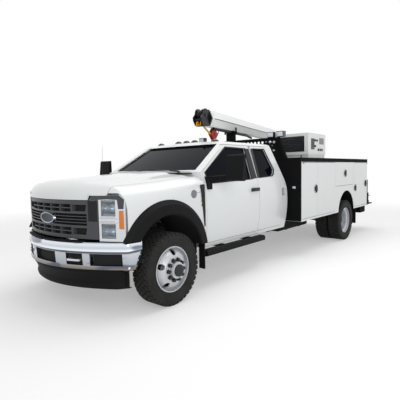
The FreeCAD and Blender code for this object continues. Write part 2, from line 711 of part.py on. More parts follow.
def side_pack():
    """Left compartments: walls, divisions and a shelf locker over the wheel."""
    x0 = BODY_BACK_X
    x1 = BODY_FRONT_X
    wall = PACK_WALL
    body = box(x0, x1, PACK_INNER_Y, PACK_OUTER_Y, PACK_BOTTOM_Z, PACK_TOP_Z)
    low = BODY_DOOR_BOTTOM_Z - BODY_DOOR_GAP
    high = BODY_DOOR_TOP_Z + BODY_DOOR_GAP
    gap = BODY_DOOR_GAP
    cuts = []
    for front, back, base in ((SIDE_DOORS["front"][0], SIDE_DOORS["middle"][1], low),
                              (SIDE_DOORS["shelf"][0], SIDE_DOORS["shelf"][1], SHELF_DOOR_BOTTOM_Z - gap),
                              (SIDE_DOORS["rear"][0], SIDE_DOORS["rear"][1], low)):
        cuts.append(box(back - gap, front + gap, PACK_INNER_Y + wall, PACK_OUTER_Y + 10, base, high))
    arch = REAR_ARCH_RADIUS
    x = REAR_AXLE_X
    cuts.append(across([(x - arch, 500), (x - arch, REAR_ARCH_Z), ((x, REAR_ARCH_Z + arch), (x + arch, REAR_ARCH_Z)),
                        (x + arch, 500)], PACK_INNER_Y - 10, PACK_OUTER_Y + 10))
    body = body.cut(Part.makeCompound(cuts))
    return fused([body] + hinge_strips())


def hinge_strips():
    """Full-length hinges in the gaps beside the doors they carry."""
    y = PACK_OUTER_Y - HINGE_DEPTH
    gap = BODY_DOOR_GAP
    strips = []
    for edge, way in ((SIDE_DOORS["front"][0], 1), (SIDE_DOORS["middle"][1], -1), (SIDE_DOORS["rear"][1], -1)):
        near = edge + way * FIT
        far = edge + way * (gap + 1)
        strips.append(box(min(near, far), max(near, far), y, PACK_OUTER_Y, BODY_DOOR_BOTTOM_Z, BODY_DOOR_TOP_Z))
    front, back = SIDE_DOORS["shelf"]
    strips.append(box(back, front, y, PACK_OUTER_Y, BODY_DOOR_TOP_Z + FIT, BODY_DOOR_TOP_Z + gap + 1))
    return strips


def side_door(key):
    front, back = SIDE_DOORS[key]
    base = SHELF_DOOR_BOTTOM_Z if key == "shelf" else BODY_DOOR_BOTTOM_Z
    return box(back, front, PACK_OUTER_Y - PACK_WALL, PACK_OUTER_Y, base, BODY_DOOR_TOP_Z)


def paddle_latch(x, z):
    return box(x - 38, x + 38, PACK_OUTER_Y, PACK_OUTER_Y + 14, z - 60, z + 60)


def middle_door():
    """The second door of the pair is cut away round the wheel opening."""
    panel = side_door("middle")
    arch = Part.makeCylinder(REAR_ARCH_RADIUS + 30, 400, V(REAR_AXLE_X, PACK_OUTER_Y - 200, REAR_ARCH_Z), V(0, 1, 0))
    return panel.cut(arch)


def bed_floor():
    plate = box(BODY_BACK_X, BODY_FRONT_X, -PACK_INNER_Y, PACK_INNER_Y,
                BED_FLOOR_Z, BED_FLOOR_Z + BED_FLOOR_THICKNESS)
    pieces = [plate]
    for x in (-3100, -3700, -4300, -5450, -6050):
        pieces.append(box(x - 40, x + 40, -PACK_INNER_Y, PACK_INNER_Y, BED_FLOOR_Z - 90, BED_FLOOR_Z + 1))
    for side in (1, -1):
        y = side * 395
        pieces.append(box(BODY_BACK_X + 60, BODY_FRONT_X - 20, y - 37, y + 37, RAIL_TOP_Z, BED_FLOOR_Z - 80))
    return fused(pieces)


def top_rail():
    plate = box(BODY_BACK_X, BODY_FRONT_X, PACK_INNER_Y, PACK_OUTER_Y, PACK_TOP_Z, PACK_TOP_Z + TOP_RAIL_HEIGHT)
    return plate.makeFillet(18, [edge for edge in plate.Edges if abs(edge.BoundBox.ZMin - plate.BoundBox.ZMax) < 1
                                 and edge.BoundBox.XLength > 100 and edge.BoundBox.YMin > 1000])


def headache_rack():
    """Front bulkhead with a framed, perforated guard above it."""
    x0 = BODY_FRONT_X
    x1 = BODY_FRONT_X + 40
    top = RACK_TOP_Z
    foot = PACK_TOP_Z + TOP_RAIL_HEIGHT
    wall = box(x0, x1, -PACK_OUTER_Y, PACK_OUTER_Y, PACK_BOTTOM_Z + 10, foot)
    notch = box(x0 - 1, x1 + 1, -RAIL_Y - 20, RAIL_Y + 20, 0, RAIL_TOP_Z + 20)
    guard = along([(-RACK_FOOT_Y, foot - 5), (-RACK_TOP_Y, top), (RACK_TOP_Y, top), (RACK_FOOT_Y, foot - 5)],
                  x0, x0 + RACK_TUBE)
    t = RACK_TUBE
    hollow = along([(-RACK_FOOT_Y + t + 18, foot + 20), (-RACK_TOP_Y + t, top - t), (RACK_TOP_Y - t, top - t),
                    (RACK_FOOT_Y - t - 18, foot + 20)], x0 - 10, x0 + RACK_TUBE + 10)
    frame = guard.cut(hollow)
    mesh = guard.common(box(x0 + 20, x0 + 26, -1200, 1200, foot, top))
    holes = []
    for row in range(4):
        z = foot + 75 + row * 68
        for column in range(-10, 11):
            y = column * 74 + (37 if row % 2 else 0)
            if abs(y) < RACK_TOP_Y - 70:
                ring = [(y + 26 * math.cos(math.radians(a)), z + 26 * math.sin(math.radians(a)))
                        for a in range(0, 360, 60)]
                holes.append(along(ring, x0 + 10, x0 + 40))
    mesh = mesh.cut(Part.makeCompound(holes))
    saddle = box(x0, x0 + RACK_TUBE, SADDLE_Y - 90, SADDLE_Y + 90, top - 5, BOOM_Z - BOOM_HALF_HEIGHT - FIT)
    return fused([wall.cut(notch), frame, mesh, saddle])


def work_lamps():
    lamps = []
    for y in (845, -845):
        lamps.append(box(BODY_FRONT_X - 10, BODY_FRONT_X + 80, y - 62, y + 62, RACK_TOP_Z, RACK_TOP_Z + 95))
    return lamps


def welder():
    base = PACK_TOP_Z + TOP_RAIL_HEIGHT
    skid = box(-3960, -3270, 500, 1100, base + FIT, base + 60)
    case = box(-3980, -3250, 490, 1110, base + 60, 2080)
    recess = box(-3262, -3200, 560, 1040, base + 110, 2030)
    return fused([skid, case.cut(recess)])


def rear_bumper():
    x1 = BODY_BACK_X
    top = PACK_BOTTOM_Z + 10
    beam = box(x1 - 330, x1, -1050, 1050, 420, top)
    posts = [box(x1 - 60, x1, side * 1120 - 70, side * 1120 + 70, 600, 1190) for side in (1, -1)]
    hitch = box(x1 - 380, x1 - 200, -45, 45, 330, 421)
    bore = box(x1 - 400, x1 - 220, -25.4, 25.4, 350, 400.8)
    brackets = [box(x1 - 10, RAIL_BACK_X, side * 395 - 37, side * 395 + 37, 560, 720) for side in (1, -1)]
    return fused([beam, hitch] + posts + brackets).cut(bore)


def bench_vise():
    """A vise on a plate at the bumper's left end."""
    back = REAR_AXLE_X - REAR_OVERHANG
    plate = box(back, BODY_BACK_X - 61, 880, 1185, PACK_BOTTOM_Z + 10 + FIT, PACK_BOTTOM_Z + 32)
    base = Part.makeCylinder(75, 60, V(back + 150, 1080, PACK_BOTTOM_Z + 31))
    jaw = box(back + 60, back + 250, 1040, 1120, PACK_BOTTOM_Z + 80, PACK_BOTTOM_Z + 190)
    slide = box(back + 20, back + 120, 1050, 1110, PACK_BOTTOM_Z + 150, PACK_BOTTOM_Z + 262)
    return fused([plate, base, jaw, slide])


def tail_lamps():
    x = BODY_BACK_X - 60
    return both(box(x - 26, x, 1080, 1170, 960, 1150))


# Crane

def craned(shape):
    """Turn a shape drawn along the boom's own line, and stand it on the pedestal's axis."""
    copy = shape.copy()
    copy.rotate(V(0, 0, 0), V(0, 0, 1), BOOM_YAW_DEG)
    copy.translate(V(CRANE_X, CRANE_Y, 0))
    return copy


def boom_section(inset, x0, x1):
    h = BOOM_HALF_HEIGHT - inset
    w = BOOM_HALF_WIDTH - inset * 1.12
    f = BOOM_FLAT - inset * 0.62
    ring = [(f, h), (w, 0), (f, -h), (-f, -h), (-w, 0), (-f, h)]
    return along([(y, BOOM_Z + z) for y, z in ring], x0, x1)


def boom_tube(number, x0, x1):
    """Boom section number 0, 1 or 2, each running inside the one before."""
    inset = number * (BOOM_WALL + BOOM_FIT)
    return boom_section(inset, x0, x1).cut(boom_section(inset + BOOM_WALL, x0 - 1, x1 + 1))


def crane_pedestal():
    base = PACK_TOP_Z + TOP_RAIL_HEIGHT
    plate = box(-200, 200, -220, 220, base, base + 25)
    column = Part.makeCylinder(150, 215, V(0, 0, base + 24))
    return craned(fused([plate, column]))


def crane_mast():
    base = PACK_TOP_Z + TOP_RAIL_HEIGHT + 240
    turret = Part.makeCylinder(165, 50, V(0, 0, base))
    ears = []
    for side in (1, -1):
        y = side * EAR_Y
        steps = [(-150, base + 20), (BOOM_PIVOT_X - 90, BOOM_Z - 40), (BOOM_PIVOT_X - 60, BOOM_Z + 70),
                 (BOOM_PIVOT_X + 70, BOOM_Z + 70), (120, base + 160), (230, base + 90), (200, base + 20)]
        ears.append(across(steps, y - 8, y + 8))
        eye_y = side * (LIFT_EYE_WIDTH / 2 + FIT + 8)
        lug = across([(LIFT_BASE_X - 50, base + 50), (LIFT_BASE_X - 50, LIFT_BASE_Z + 20),
                      (LIFT_BASE_X - 25, LIFT_BASE_Z + 50), (LIFT_BASE_X + 25, LIFT_BASE_Z + 50),
                      (LIFT_BASE_X + 50, LIFT_BASE_Z + 20), (LIFT_BASE_X + 50, base + 50)], eye_y - 8, eye_y + 8)
        ears.append(lug)
    web = box(-150, -120, -EAR_Y, EAR_Y, base + 20, base + 130)
    floor = box(-150, 205, -EAR_Y - 8, EAR_Y + 8, base + 20, base + 55)
    return craned(fused([turret, web, floor] + ears))


def main_boom():
    tube = boom_tube(0, BOOM_PIVOT_X - 55, BOOM_END_X)
    reach = EAR_Y - 8 - FIT
    boss = rod(V(BOOM_PIVOT_X, -reach, BOOM_Z), V(BOOM_PIVOT_X, reach, BOOM_Z), 42)
    low = BOOM_Z - BOOM_HALF_HEIGHT
    eye_y = LIFT_EYE_WIDTH / 2 + FIT + 8
    lugs = [across([(LIFT_EYE_X - 70, low + 1), (LIFT_EYE_X + 70, low + 1), (LIFT_EYE_X + 45, LIFT_EYE_Z - 40),
                    (LIFT_EYE_X - 45, LIFT_EYE_Z - 40)], y - 8, y + 8) for y in (-eye_y, eye_y)]
    return craned(fused([tube, boss] + lugs))


def first_extension():
    return craned(boom_tube(1, 500, BOOM_END_X + BOOM_STEP))


def second_extension():
    """The tip section with its black head: cheek plates and the rope sheave."""
    end = BOOM_END_X + 2 * BOOM_STEP
    tube = boom_tube(2, 700, end)
    cap = boom_section(0, end, end + 12)
    cheeks = [across([(end + 10, BOOM_Z - 125), (end + 10, BOOM_Z + 60), (end + 130, BOOM_Z + 130),
                      (end + 230, BOOM_Z + 110), (end + HEAD_LENGTH, BOOM_Z - 20), (end + 250, BOOM_Z - 140)],
                     y - 6, y + 6) for y in (-62, 62)]
    sheave = rod(V(end + 165, -40, BOOM_Z + 35), V(end + 165, 40, BOOM_Z + 35), 88)
    axle = rod(V(end + 165, -68, BOOM_Z + 35), V(end + 165, 68, BOOM_Z + 35), 22)
    return craned(fused([tube, cap, sheave, axle] + cheeks))


def hook_block():
    """The red snatch block tied under the boom, and the hook at the tip."""
    x = 3910
    low = BOOM_Z - BOOM_HALF_HEIGHT
    block = across([(x - 130, low - 105), (x, low - FIT), (x + 130, low - 105), (x, low - 212)], -30, 30)
    return [craned(block)]


def lift_direction():
    span = V(LIFT_EYE_X - LIFT_BASE_X, 0, LIFT_EYE_Z - LIFT_BASE_Z)
    return span * (1.0 / span.Length)


def lift_barrel():
    start = V(LIFT_BASE_X, 0, LIFT_BASE_Z)
    line = lift_direction()
    half = V(0, LIFT_EYE_WIDTH / 2, 0)
    eye = rod(start - half, start + half, 45)
    neck = rod(start, start + line * 90, 33)
    body = rod(start + line * 85, start + line * 640, LIFT_BARREL_RADIUS)
    bore = rod(start + line * 120, start + line * 641, LIFT_ROD_RADIUS + FIT)
    return craned(fused([eye, neck, body]).cut(bore))


def lift_rod():
    start = V(LIFT_BASE_X, 0, LIFT_BASE_Z)
    end = V(LIFT_EYE_X, 0, LIFT_EYE_Z)
    line = lift_direction()
    half = V(0, LIFT_EYE_WIDTH / 2, 0)
    return craned(fused([rod(start + line * 130, end, LIFT_ROD_RADIUS),
                         rod(end - half, end + half, 40)]))


# Every piece is written out

os.makedirs("parts", exist_ok=True)

put("frame_rails", [frame_rails()])
put("front_axle", [front_axle()])
put("rear_axle", [rear_axle()])
put("engine_block", [engine_block()])

left_knuckle = knuckle()
put("knuckle_left", [left_knuckle])
put("knuckle_right", [mirrored(left_knuckle)])

front_rim = front_wheel()
rear_rims = moved(dual_wheel(), REAR_AXLE_X)
front_tyre = tyre(FRONT_WHEEL_Y, 1)
dual_tyres = [moved(tyre(DUAL_CENTRE_Y + DISC_OFFSET, -1), REAR_AXLE_X),
              moved(tyre(DUAL_CENTRE_Y - DISC_OFFSET, 1), REAR_AXLE_X)]
put("wheel_front_left", [front_rim])
put("wheel_front_right", [mirrored(front_rim)])
put("wheels_rear_left", [rear_rims])
put("wheels_rear_right", [mirrored(rear_rims)])
put("tyre_front_left", [front_tyre])
put("tyre_front_right", [mirrored(front_tyre)])
put("tyres_rear_left", dual_tyres)
put("tyres_rear_right", [mirrored(shape) for shape in dual_tyres])

put("cab_shell", [cab_shell()])
pane = glass_band()
put("cab_glass", cab_glass(pane))
put("cab_interior", cab_interior())
skin = door_skin()
for end, shape, window in (("front", FRONT_DOOR, FRONT_WINDOW), ("rear", REAR_DOOR, REAR_WINDOW)):
    panel = door(skin, shape, window)
    light = pane.common(across(window, 500, 1200))
    if end == "front":
        panel = panel.fuse(handle(-1760)).removeSplitter()
    put("door_" + end + "_left", [panel])
    put("door_" + end + "_right", [mirrored(panel)])
    put("glass_" + end + "_left", [light])
    put("glass_" + end + "_right", [mirrored(light)])
left_mirror = mirror(cab_envelope(0, SILL_Z))
put("mirror_left", [left_mirror])
put("mirror_right", [mirrored(left_mirror)])

put("hood", [hood()])
put("front_fenders", both(fender()))
put("fender_flares", both(flare()) + mud_flaps())
put("grille", [grille()])
put("headlamps", both(headlamp()))
put("front_bumper", [front_bumper()])
put("air_dam", [air_dam()])
put("running_boards", both(running_board()))

left_pack = side_pack()
put("side_pack_left", [left_pack])
put("side_pack_right", [mirrored(left_pack)])
put("bed_floor", [bed_floor()])
put("top_rails", both(top_rail()))
leaves = {
    "front": fused([side_door("front"), paddle_latch(-3385, 1120)]),
    "middle": middle_door(),
    "shelf": fused([side_door("shelf"), paddle_latch(-4790, 1360)]),
    "rear": fused([side_door("rear"), paddle_latch(-5385, 1040)]),
}
for key, leaf in leaves.items():
    put("body_door_" + key + "_left", [leaf])
    put("body_door_" + key + "_right", [mirrored(leaf)])
put("headache_rack", [headache_rack()])
put("welder", [welder()])
put("lamps", marker_lamps(cab_envelope(0, SILL_Z)) + work_lamps() + tail_lamps())
put("rear_bumper", [rear_bumper()])
put("bench_vise", [bench_vise()])

put("crane_pedestal", [crane_pedestal()])
put("crane_mast", [crane_mast()])
put("main_boom", [main_boom()])
put("boom_extension_1", [first_extension()])
put("boom_extension_2", [second_extension()])
put("hook_block", hook_block())
put("lift_barrel", [lift_barrel()])
put("lift_rod", [lift_rod()])
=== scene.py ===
import math
import bmesh
import bpy
from mathutils import Matrix, Vector


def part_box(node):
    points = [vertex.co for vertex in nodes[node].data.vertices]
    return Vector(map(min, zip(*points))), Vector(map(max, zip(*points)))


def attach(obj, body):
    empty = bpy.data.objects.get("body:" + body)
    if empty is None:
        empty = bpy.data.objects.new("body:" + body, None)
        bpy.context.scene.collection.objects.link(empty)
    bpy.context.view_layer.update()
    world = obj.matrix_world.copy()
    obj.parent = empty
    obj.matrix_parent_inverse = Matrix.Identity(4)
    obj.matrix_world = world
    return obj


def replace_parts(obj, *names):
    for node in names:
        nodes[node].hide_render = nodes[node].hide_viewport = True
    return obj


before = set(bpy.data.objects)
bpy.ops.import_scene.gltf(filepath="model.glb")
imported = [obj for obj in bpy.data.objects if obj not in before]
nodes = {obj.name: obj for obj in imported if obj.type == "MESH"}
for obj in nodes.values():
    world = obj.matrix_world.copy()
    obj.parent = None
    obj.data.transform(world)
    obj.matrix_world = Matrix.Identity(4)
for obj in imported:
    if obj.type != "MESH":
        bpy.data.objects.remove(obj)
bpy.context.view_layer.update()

# Service crane truck: an extended-cab chassis truck with side lockers and a folded telescopic crane.
# Metres, X forward, Y to the driver's left, Z up. Places are given from the front axle on the ground.
hub_low, hub_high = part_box("tyre_front_left")
axle_x = (hub_low[0] + hub_high[0]) / 2
tyre_radius = (hub_high[2] - hub_low[2]) / 2


# Camera: at the photograph's place beside the truck's left front corner, at about eye height.
# Its place, turn and lens are fitted to points of the photograph.

CAMERA_PLACE = (2.881, 3.927, 1.479)
CAMERA_YAW, CAMERA_PITCH, CAMERA_ROLL = math.radians(40.67), math.radians(4.517), math.radians(-1.124)
LENS_MM, SENSOR_MM = 34.04, 36.0


def at(x, y, z):
    """A point given from the front axle, in the frame's own place."""
    return Vector((axle_x + x, y, z))


look = Vector((-math.cos(CAMERA_YAW) * math.cos(CAMERA_PITCH),
               -math.sin(CAMERA_YAW) * math.cos(CAMERA_PITCH), -math.sin(CAMERA_PITCH)))
right = look.cross(Vector((0, 0, 1))).normalized()
up = right.cross(look)
right, up = (right * math.cos(CAMERA_ROLL) + up * math.sin(CAMERA_ROLL),
             up * math.cos(CAMERA_ROLL) - right * math.sin(CAMERA_ROLL))
turn = Matrix((right, up, -look)).transposed().to_4x4()
camera = bpy.data.objects.new("camera", bpy.data.cameras.new("camera"))
bpy.context.scene.collection.objects.link(camera)
camera.matrix_world = Matrix.Translation(at(*CAMERA_PLACE)) @ turn
camera.data.sensor_width = SENSOR_MM
camera.data.lens = LENS_MM
camera.data.clip_start, camera.data.clip_end = 0.05, 200.0
bpy.context.scene.camera = camera
bpy.context.scene.view_settings.view_transform = "Standard"


# Studio: a pale floor under a soft overhead light, with a key light from the camera's left.
# What the lens sees behind the truck is plain white; the floor keeps the truck's shadow.

FLOOR_HALF = 60.0
FLOOR_GLOW = 0.36
FADE_FROM, FADE_TO = 4.5, 11.0
SKY_LEVEL = 0.46
PURE_WHITE = (1, 1, 1, 1)


def linear(text):
    """An sRGB hex colour as linear red, green, blue and alpha."""
    parts = [int(text[i:i + 2], 16) / 255.0 for i in (1, 3, 5)]
    return tuple(c / 12.92 if c <= 0.04045 else ((c + 0.055) / 1.055) ** 2.4 for c in parts) + (1.0,)


def add(tree, kind, settings=None, links=None):
    """One shader node, with its sockets or settings filled in and other nodes' outputs joined to it."""
    node = tree.nodes.new(kind)
    for key, value in (settings or {}).items():
        if isinstance(key, int) or key in node.inputs:
            node.inputs[key].default_value = value
        else:
            setattr(node, key, value)
    for key, output in (links or {}).items():
        tree.links.new(output, node.inputs[key])
    return node


def seen_directly(tree):
    """1 for what the lens, a mirror-like surface or glass sees, and 0 for light that falls on things."""
    path = add(tree, "ShaderNodeLightPath")
    some = add(tree, "ShaderNodeMath", {"operation": "MAXIMUM"},
               {0: path.outputs["Is Camera Ray"], 1: path.outputs["Is Glossy Ray"]})
    return add(tree, "ShaderNodeMath", {"operation": "MAXIMUM"},
               {0: some.outputs[0], 1: path.outputs["Is Transmission Ray"]}).outputs[0]


def blended(tree, share, first, second):
    """Two shaders mixed by a share."""
    return add(tree, "ShaderNodeMixShader", {}, {0: share, 1: first.outputs[0], 2: second.outputs[0]})


world = bpy.data.worlds.new("studio")
bpy.context.scene.world = world
world.use_nodes = True
sky = world.node_tree
sky.nodes.clear()
dim = add(sky, "ShaderNodeBackground", {"Color": PURE_WHITE, "Strength": SKY_LEVEL})
white = add(sky, "ShaderNodeBackground", {"Color": PURE_WHITE, "Strength": 1.0})
add(sky, "ShaderNodeOutputWorld", {}, {"Surface": blended(sky, seen_directly(sky), dim, white).outputs[0]})

# The floor's paint is lifted towards white further out, so that it meets the sky without a line.
floor_material = bpy.data.materials.new("studio floor paint")
floor_material.use_nodes = True
tree = floor_material.node_tree
tree.nodes.clear()
paper = add(tree, "ShaderNodeBsdfDiffuse", {"Color": linear("#D9D9D9")})
none, near_glow, far_glow = [add(tree, "ShaderNodeEmission", {"Strength": level})
                             for level in (0.0, FLOOR_GLOW, 1.0)]
place = add(tree, "ShaderNodeTexCoord").outputs["Object"]
reach = add(tree, "ShaderNodeVectorMath", {"operation": "LENGTH"}, {0: place})
fade = add(tree, "ShaderNodeMapRange", {"From Min": FADE_FROM, "From Max": FADE_TO},
           {"Value": reach.outputs["Value"]})
lift = blended(tree, seen_directly(tree), none, near_glow)
total = add(tree, "ShaderNodeAddShader", {}, {0: paper.outputs[0], 1: lift.outputs[0]})
faded = blended(tree, fade.outputs[0], total, far_glow)
add(tree, "ShaderNodeOutputMaterial", {}, {"Surface": faded.outputs[0]})
bm = bmesh.new()
bmesh.ops.create_grid(bm, x_segments=1, y_segments=1, size=FLOOR_HALF)
floor_mesh = bpy.data.meshes.new("floor")
bm.to_mesh(floor_mesh)
bm.free()
floor = bpy.data.objects.new("floor", floor_mesh)
floor.data.materials.append(floor_material)
bpy.context.scene.collection.objects.link(floor)


def softbox(name, place, aim, size, power):
    """A square area lamp that faces a point."""
    lamp = bpy.data.lights.new(name, "AREA")
    lamp.shape = "SQUARE"
    lamp.size = size
    lamp.energy = power
    lamp_object = bpy.data.objects.new(name, lamp)
    lamp_object.location = at(*place)
    lamp_object.rotation_euler = (Vector(aim) - Vector(place)).to_track_quat("-Z", "Y").to_euler()
    bpy.context.scene.collection.objects.link(lamp_object)


softbox("overhead", (-3.2, 0.5, 7.5), (-3.2, 0, 0), 7.0, 320)
softbox("key", (4.0, 8.5, 3.6), (-2.5, 0, 0.9), 4.5, 290)


# Painted sheet metal: cab, doors and lockers of pressed steel, sprayed white under a clear coat.
# The coat gives sharp highlights over a base with a faint ripple, which real sprayed paint keeps.

def grained(tree, grain_mm, detail, stretch=(1, 1, 1)):
    """Noise with patches of a real size, which stays with the piece as it moves."""
    place = add(tree, "ShaderNodeTexCoord").outputs["Object"]
    mapping = add(tree, "ShaderNodeMapping", {"Scale": stretch}, {"Vector": place})
    return add(tree, "ShaderNodeTexNoise", {"Scale": 1000.0 / grain_mm, "Detail": detail},
               {"Vector": mapping.outputs[0]}).outputs["Fac"]


def bumps(made, grain_mm, height_mm, detail=2.0, stretch=(1, 1, 1)):
    """Grain of a real size raised on a material's surface."""
    tree = made.node_tree
    bump = add(tree, "ShaderNodeBump", {"Strength": 1.0, "Distance": height_mm / 1000.0},
               {"Height": grained(tree, grain_mm, detail, stretch)})
    tree.links.new(bump.outputs[0], tree.nodes["Principled BSDF"].inputs["Normal"])


def material(name, colour, roughness, metallic=0.0, grain=None, **sockets):
    """A shader with plain values, and a raised grain of (size, height) in mm where one is given."""
    made = bpy.data.materials.new(name)
    made.use_nodes = True
    shader = made.node_tree.nodes["Principled BSDF"]
    shader.inputs["Base Color"].default_value = linear(colour)
    shader.inputs["Roughness"].default_value = roughness
    shader.inputs["Metallic"].default_value = metallic
    for key, value in sockets.items():
        shader.inputs[key.replace("_", " ")].default_value = value
    if grain:
        bumps(made, *grain)
    return made


def dress(made, slot_name, *names):
    """Give a CAD piece its material; its shape stays as it is."""
    for name in names:
        piece = nodes[name]
        piece.data.materials.clear()
        piece.data.materials.append(made)


def sides(*names):
    """Left pieces' names and their right twins'."""
    return [name + side for name in names for side in ("_left", "_right")]


white_paint = material("white automotive paint", "#E4E7E7", 0.32, grain=(14.0, 0.03), Coat_Weight=0.6,
                       Coat_Roughness=0.05)
dress(white_paint, "white_paint", "cab_shell",
      *sides("door_front", "door_rear", "side_pack", "body_door_front", "body_door_middle", "body_door_shelf",
             "body_door_rear"))


# Hood: one pressed steel panel, raised along its middle and rolled down at the nose to the grille.
# It is drawn as a grid from the cowl to the nose, set to the panel's heights, and given its gauge.

NOSE_HALF, NOSE_FRONT, NOSE_SWEEP = 0.985, 0.813, 0.300
PANEL_WALL = 0.012
HOOD_BACK = -0.545
HOOD_HEIGHTS = ((-0.545, 1.404, 1.480, 0.014), (0.0, 1.362, 1.450, 0.016), (0.45, 1.341, 1.418, 0.012),
                (0.90, 1.322, 1.378, 0.006))
HOOD_SECTION = ((0.0, 1.0, 0.0), (0.20, 0.93, 0.0), (0.40, 0.75, 0.0), (0.46, 0.66, 1.0), (0.62, 0.40, 0.6),
                (0.72, 0.20, 0.0), (0.80, 0.0, 0.0))
HOOD_COLUMNS = (0.0, 0.10, 0.20, 0.30, 0.40, 0.43, 0.46, 0.54, 0.60, 0.62, 0.66, 0.72, 0.80)
NOSE_ROLL = ((-1.5, 1.602), (-0.150, 1.392), (-0.070, 1.362), (-0.010, 1.322), (0.030, 1.272), (0.050, 1.222),
             (0.052, 1.202))
HOOD_LIP, LAMP_LIP, GRILLE_REACH = 1.202, 1.258, 0.61
ROLL_ROWS = [-0.30, -0.20, -0.15, -0.11, -0.07, -0.04, -0.01, 0.01, 0.03, 0.04, 0.05, 0.052]
FLAT_ROWS = 9


def finish(bm, name, made, body="chassis", sharp=30.0):
    """Turn a bmesh drawn from the front axle into a piece that rides on a CAD body."""
    bmesh.ops.remove_doubles(bm, verts=bm.verts, dist=0.00002)
    bmesh.ops.recalc_face_normals(bm, faces=bm.faces)
    bmesh.ops.translate(bm, verts=bm.verts, vec=(axle_x, 0, 0))
    mesh = bpy.data.meshes.new(name)
    bm.to_mesh(mesh)
    bm.free()
    for each in made if isinstance(made, tuple) else (made,):
        mesh.materials.append(each)
    mesh.polygons.foreach_set("use_smooth", [True] * len(mesh.polygons))
    mesh.set_sharp_from_angle(angle=math.radians(sharp))
    piece = bpy.data.objects.new(name, mesh)
    bpy.context.scene.collection.objects.link(piece)
    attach(piece, body)
    return piece


def between(table, value):
    """A height read off a table of (place, height) steps."""
    for (a, low), (b, high) in zip(table, table[1:]):
        if value <= b:
            return low + (high - low) * max(0.0, value - a) / (b - a)
    return table[-1][1]


def fall(y, sweep=NOSE_SWEEP):
    """How far a bowed front falls back at a distance from its middle."""
    return sweep * (y / NOSE_HALF) ** 2


def rolled(x, y, z, lip):
    """A panel's height, held under the nose's roll and above a lip."""
    return max(min(z, between(NOSE_ROLL, x - NOSE_FRONT + fall(y))), lip)


def station(x):
    """Edge height, middle height and shoulder step of the hood at a place along it."""
    return [between([(row[0], row[part]) for row in HOOD_HEIGHTS], x) for part in (1, 2, 3)]


def hood_height(x, y):
    """The hood's height: its raised middle, a shoulder step beside it, and the fall to its edge."""
    edge, crown, step = station(x)
    section = [(across, edge + share * (crown - edge) - drop * step) for across, share, drop in HOOD_SECTION]
    return between(section, abs(y))


def nose_rows(back, length, rolls):
    """Offsets from the nose line for a panel's rows, even at the back and close over the roll."""
    return [back + length * row / FLAT_ROWS for row in range(FLAT_ROWS)] + rolls


def both_ways(places):
    """Places from the middle outwards, with their like on the other side put before them."""
    return [-y for y in reversed(places[1:])] + list(places)


def grid_of(bm, rows, columns):
    """A grid with a vertex for each pair of a row and a column, as (vertex, row, column)."""
    last_row, last_column = len(rows) - 1, len(columns) - 1
    verts = bmesh.ops.create_grid(bm, x_segments=last_row, y_segments=last_column, size=1.0)["verts"]
    return [(vert, rows[round((vert.co.x + 1) / 2 * last_row)],
             columns[round((vert.co.y + 1) / 2 * last_column)]) for vert in verts]


def walled(bm, thickness):
    """Give an open sheet its wall."""
    bmesh.ops.recalc_face_normals(bm, faces=bm.faces)
    bmesh.ops.solidify(bm, geom=bm.faces[:], thickness=thickness)


bm = bmesh.new()
for vert, row, y in grid_of(bm, nose_rows(-1.358, 0.998, ROLL_ROWS), both_ways(HOOD_COLUMNS)):
    x = max(HOOD_BACK, NOSE_FRONT + row - fall(y))
    vert.co = (x, y, rolled(x, y, hood_height(x, y), HOOD_LIP if abs(y) < GRILLE_REACH else LAMP_LIP))
bmesh.ops.remove_doubles(bm, verts=bm.verts, dist=0.0005)
walled(bm, PANEL_WALL)
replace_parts(finish(bm, "hood_panel", white_paint, "hood"), "hood")


# Front wings: pressed steel, with a soft shoulder beside the hood and a round opening for the wheel.
# The top is a grid like the hood's; the side is one face with the opening in its lower edge.

WING_BACK = -0.636
WING_FALL = ((-0.64, 0.042), (0.0, 0.050), (0.45, 0.060), (0.613, 0.080))
WING_COLUMNS = ((0.806, 0.0), (0.85, 0.16), (0.90, 0.6), (0.925, 1.0), (0.955, 1.55), (0.973, 2.3),
                (0.982, 3.2), (NOSE_HALF, 4.2))
OPENING_RADIUS, OPENING_Z = 0.570, 0.482
OPENING_FROM, OPENING_SPAN, OPENING_STEPS = 32.5, 131.0, 22
SILL_HEIGHT, LAMP_FOOT = 0.643, 0.790


def wing_height(x, share):
    """The wing's height at a share of its fall from the hood's edge."""
    return station(x)[0] - 0.002 - between(WING_FALL, x) * share


def everything(bm):
    """All the vertices, edges and faces drawn so far."""
    return bm.verts[:] + bm.edges[:] + bm.faces[:]


def only(items, kind):
    """The vertices or the faces among what an operator gives back."""
    return [item for item in items if isinstance(item, kind)]


def twin(bm):
    """Add the right-hand copy of what is drawn on the left."""
    copies = bmesh.ops.duplicate(bm, geom=everything(bm))["geom"]
    bmesh.ops.scale(bm, vec=(1, -1, 1), verts=only(copies, bmesh.types.BMVert))


bm = bmesh.new()
for vert, row, (y, share) in grid_of(bm, nose_rows(-1.25, 0.9, ROLL_ROWS[:-3]), WING_COLUMNS):
    x = max(WING_BACK, NOSE_FRONT + row - fall(y))
    z = wing_height(x, share)
    vert.co = (x, y, rolled(x, y, z, min(z, LAMP_LIP)))
bmesh.ops.remove_doubles(bm, verts=bm.verts, dist=0.0005)
angles = [math.radians(OPENING_FROM + OPENING_SPAN * step / OPENING_STEPS)
          for step in range(OPENING_STEPS + 1)]
ring = [(OPENING_RADIUS * math.cos(angle), OPENING_Z + OPENING_RADIUS * math.sin(angle)) for angle in angles]
front_x = NOSE_FRONT + 0.030 - NOSE_SWEEP
top = [(x, wing_height(x, WING_COLUMNS[-1][1])) for x in (WING_BACK, -0.3, 0.0, 0.25, 0.45, front_x)]
outline = top + [(front_x, LAMP_FOOT)] + ring + [(WING_BACK, SILL_HEIGHT)]
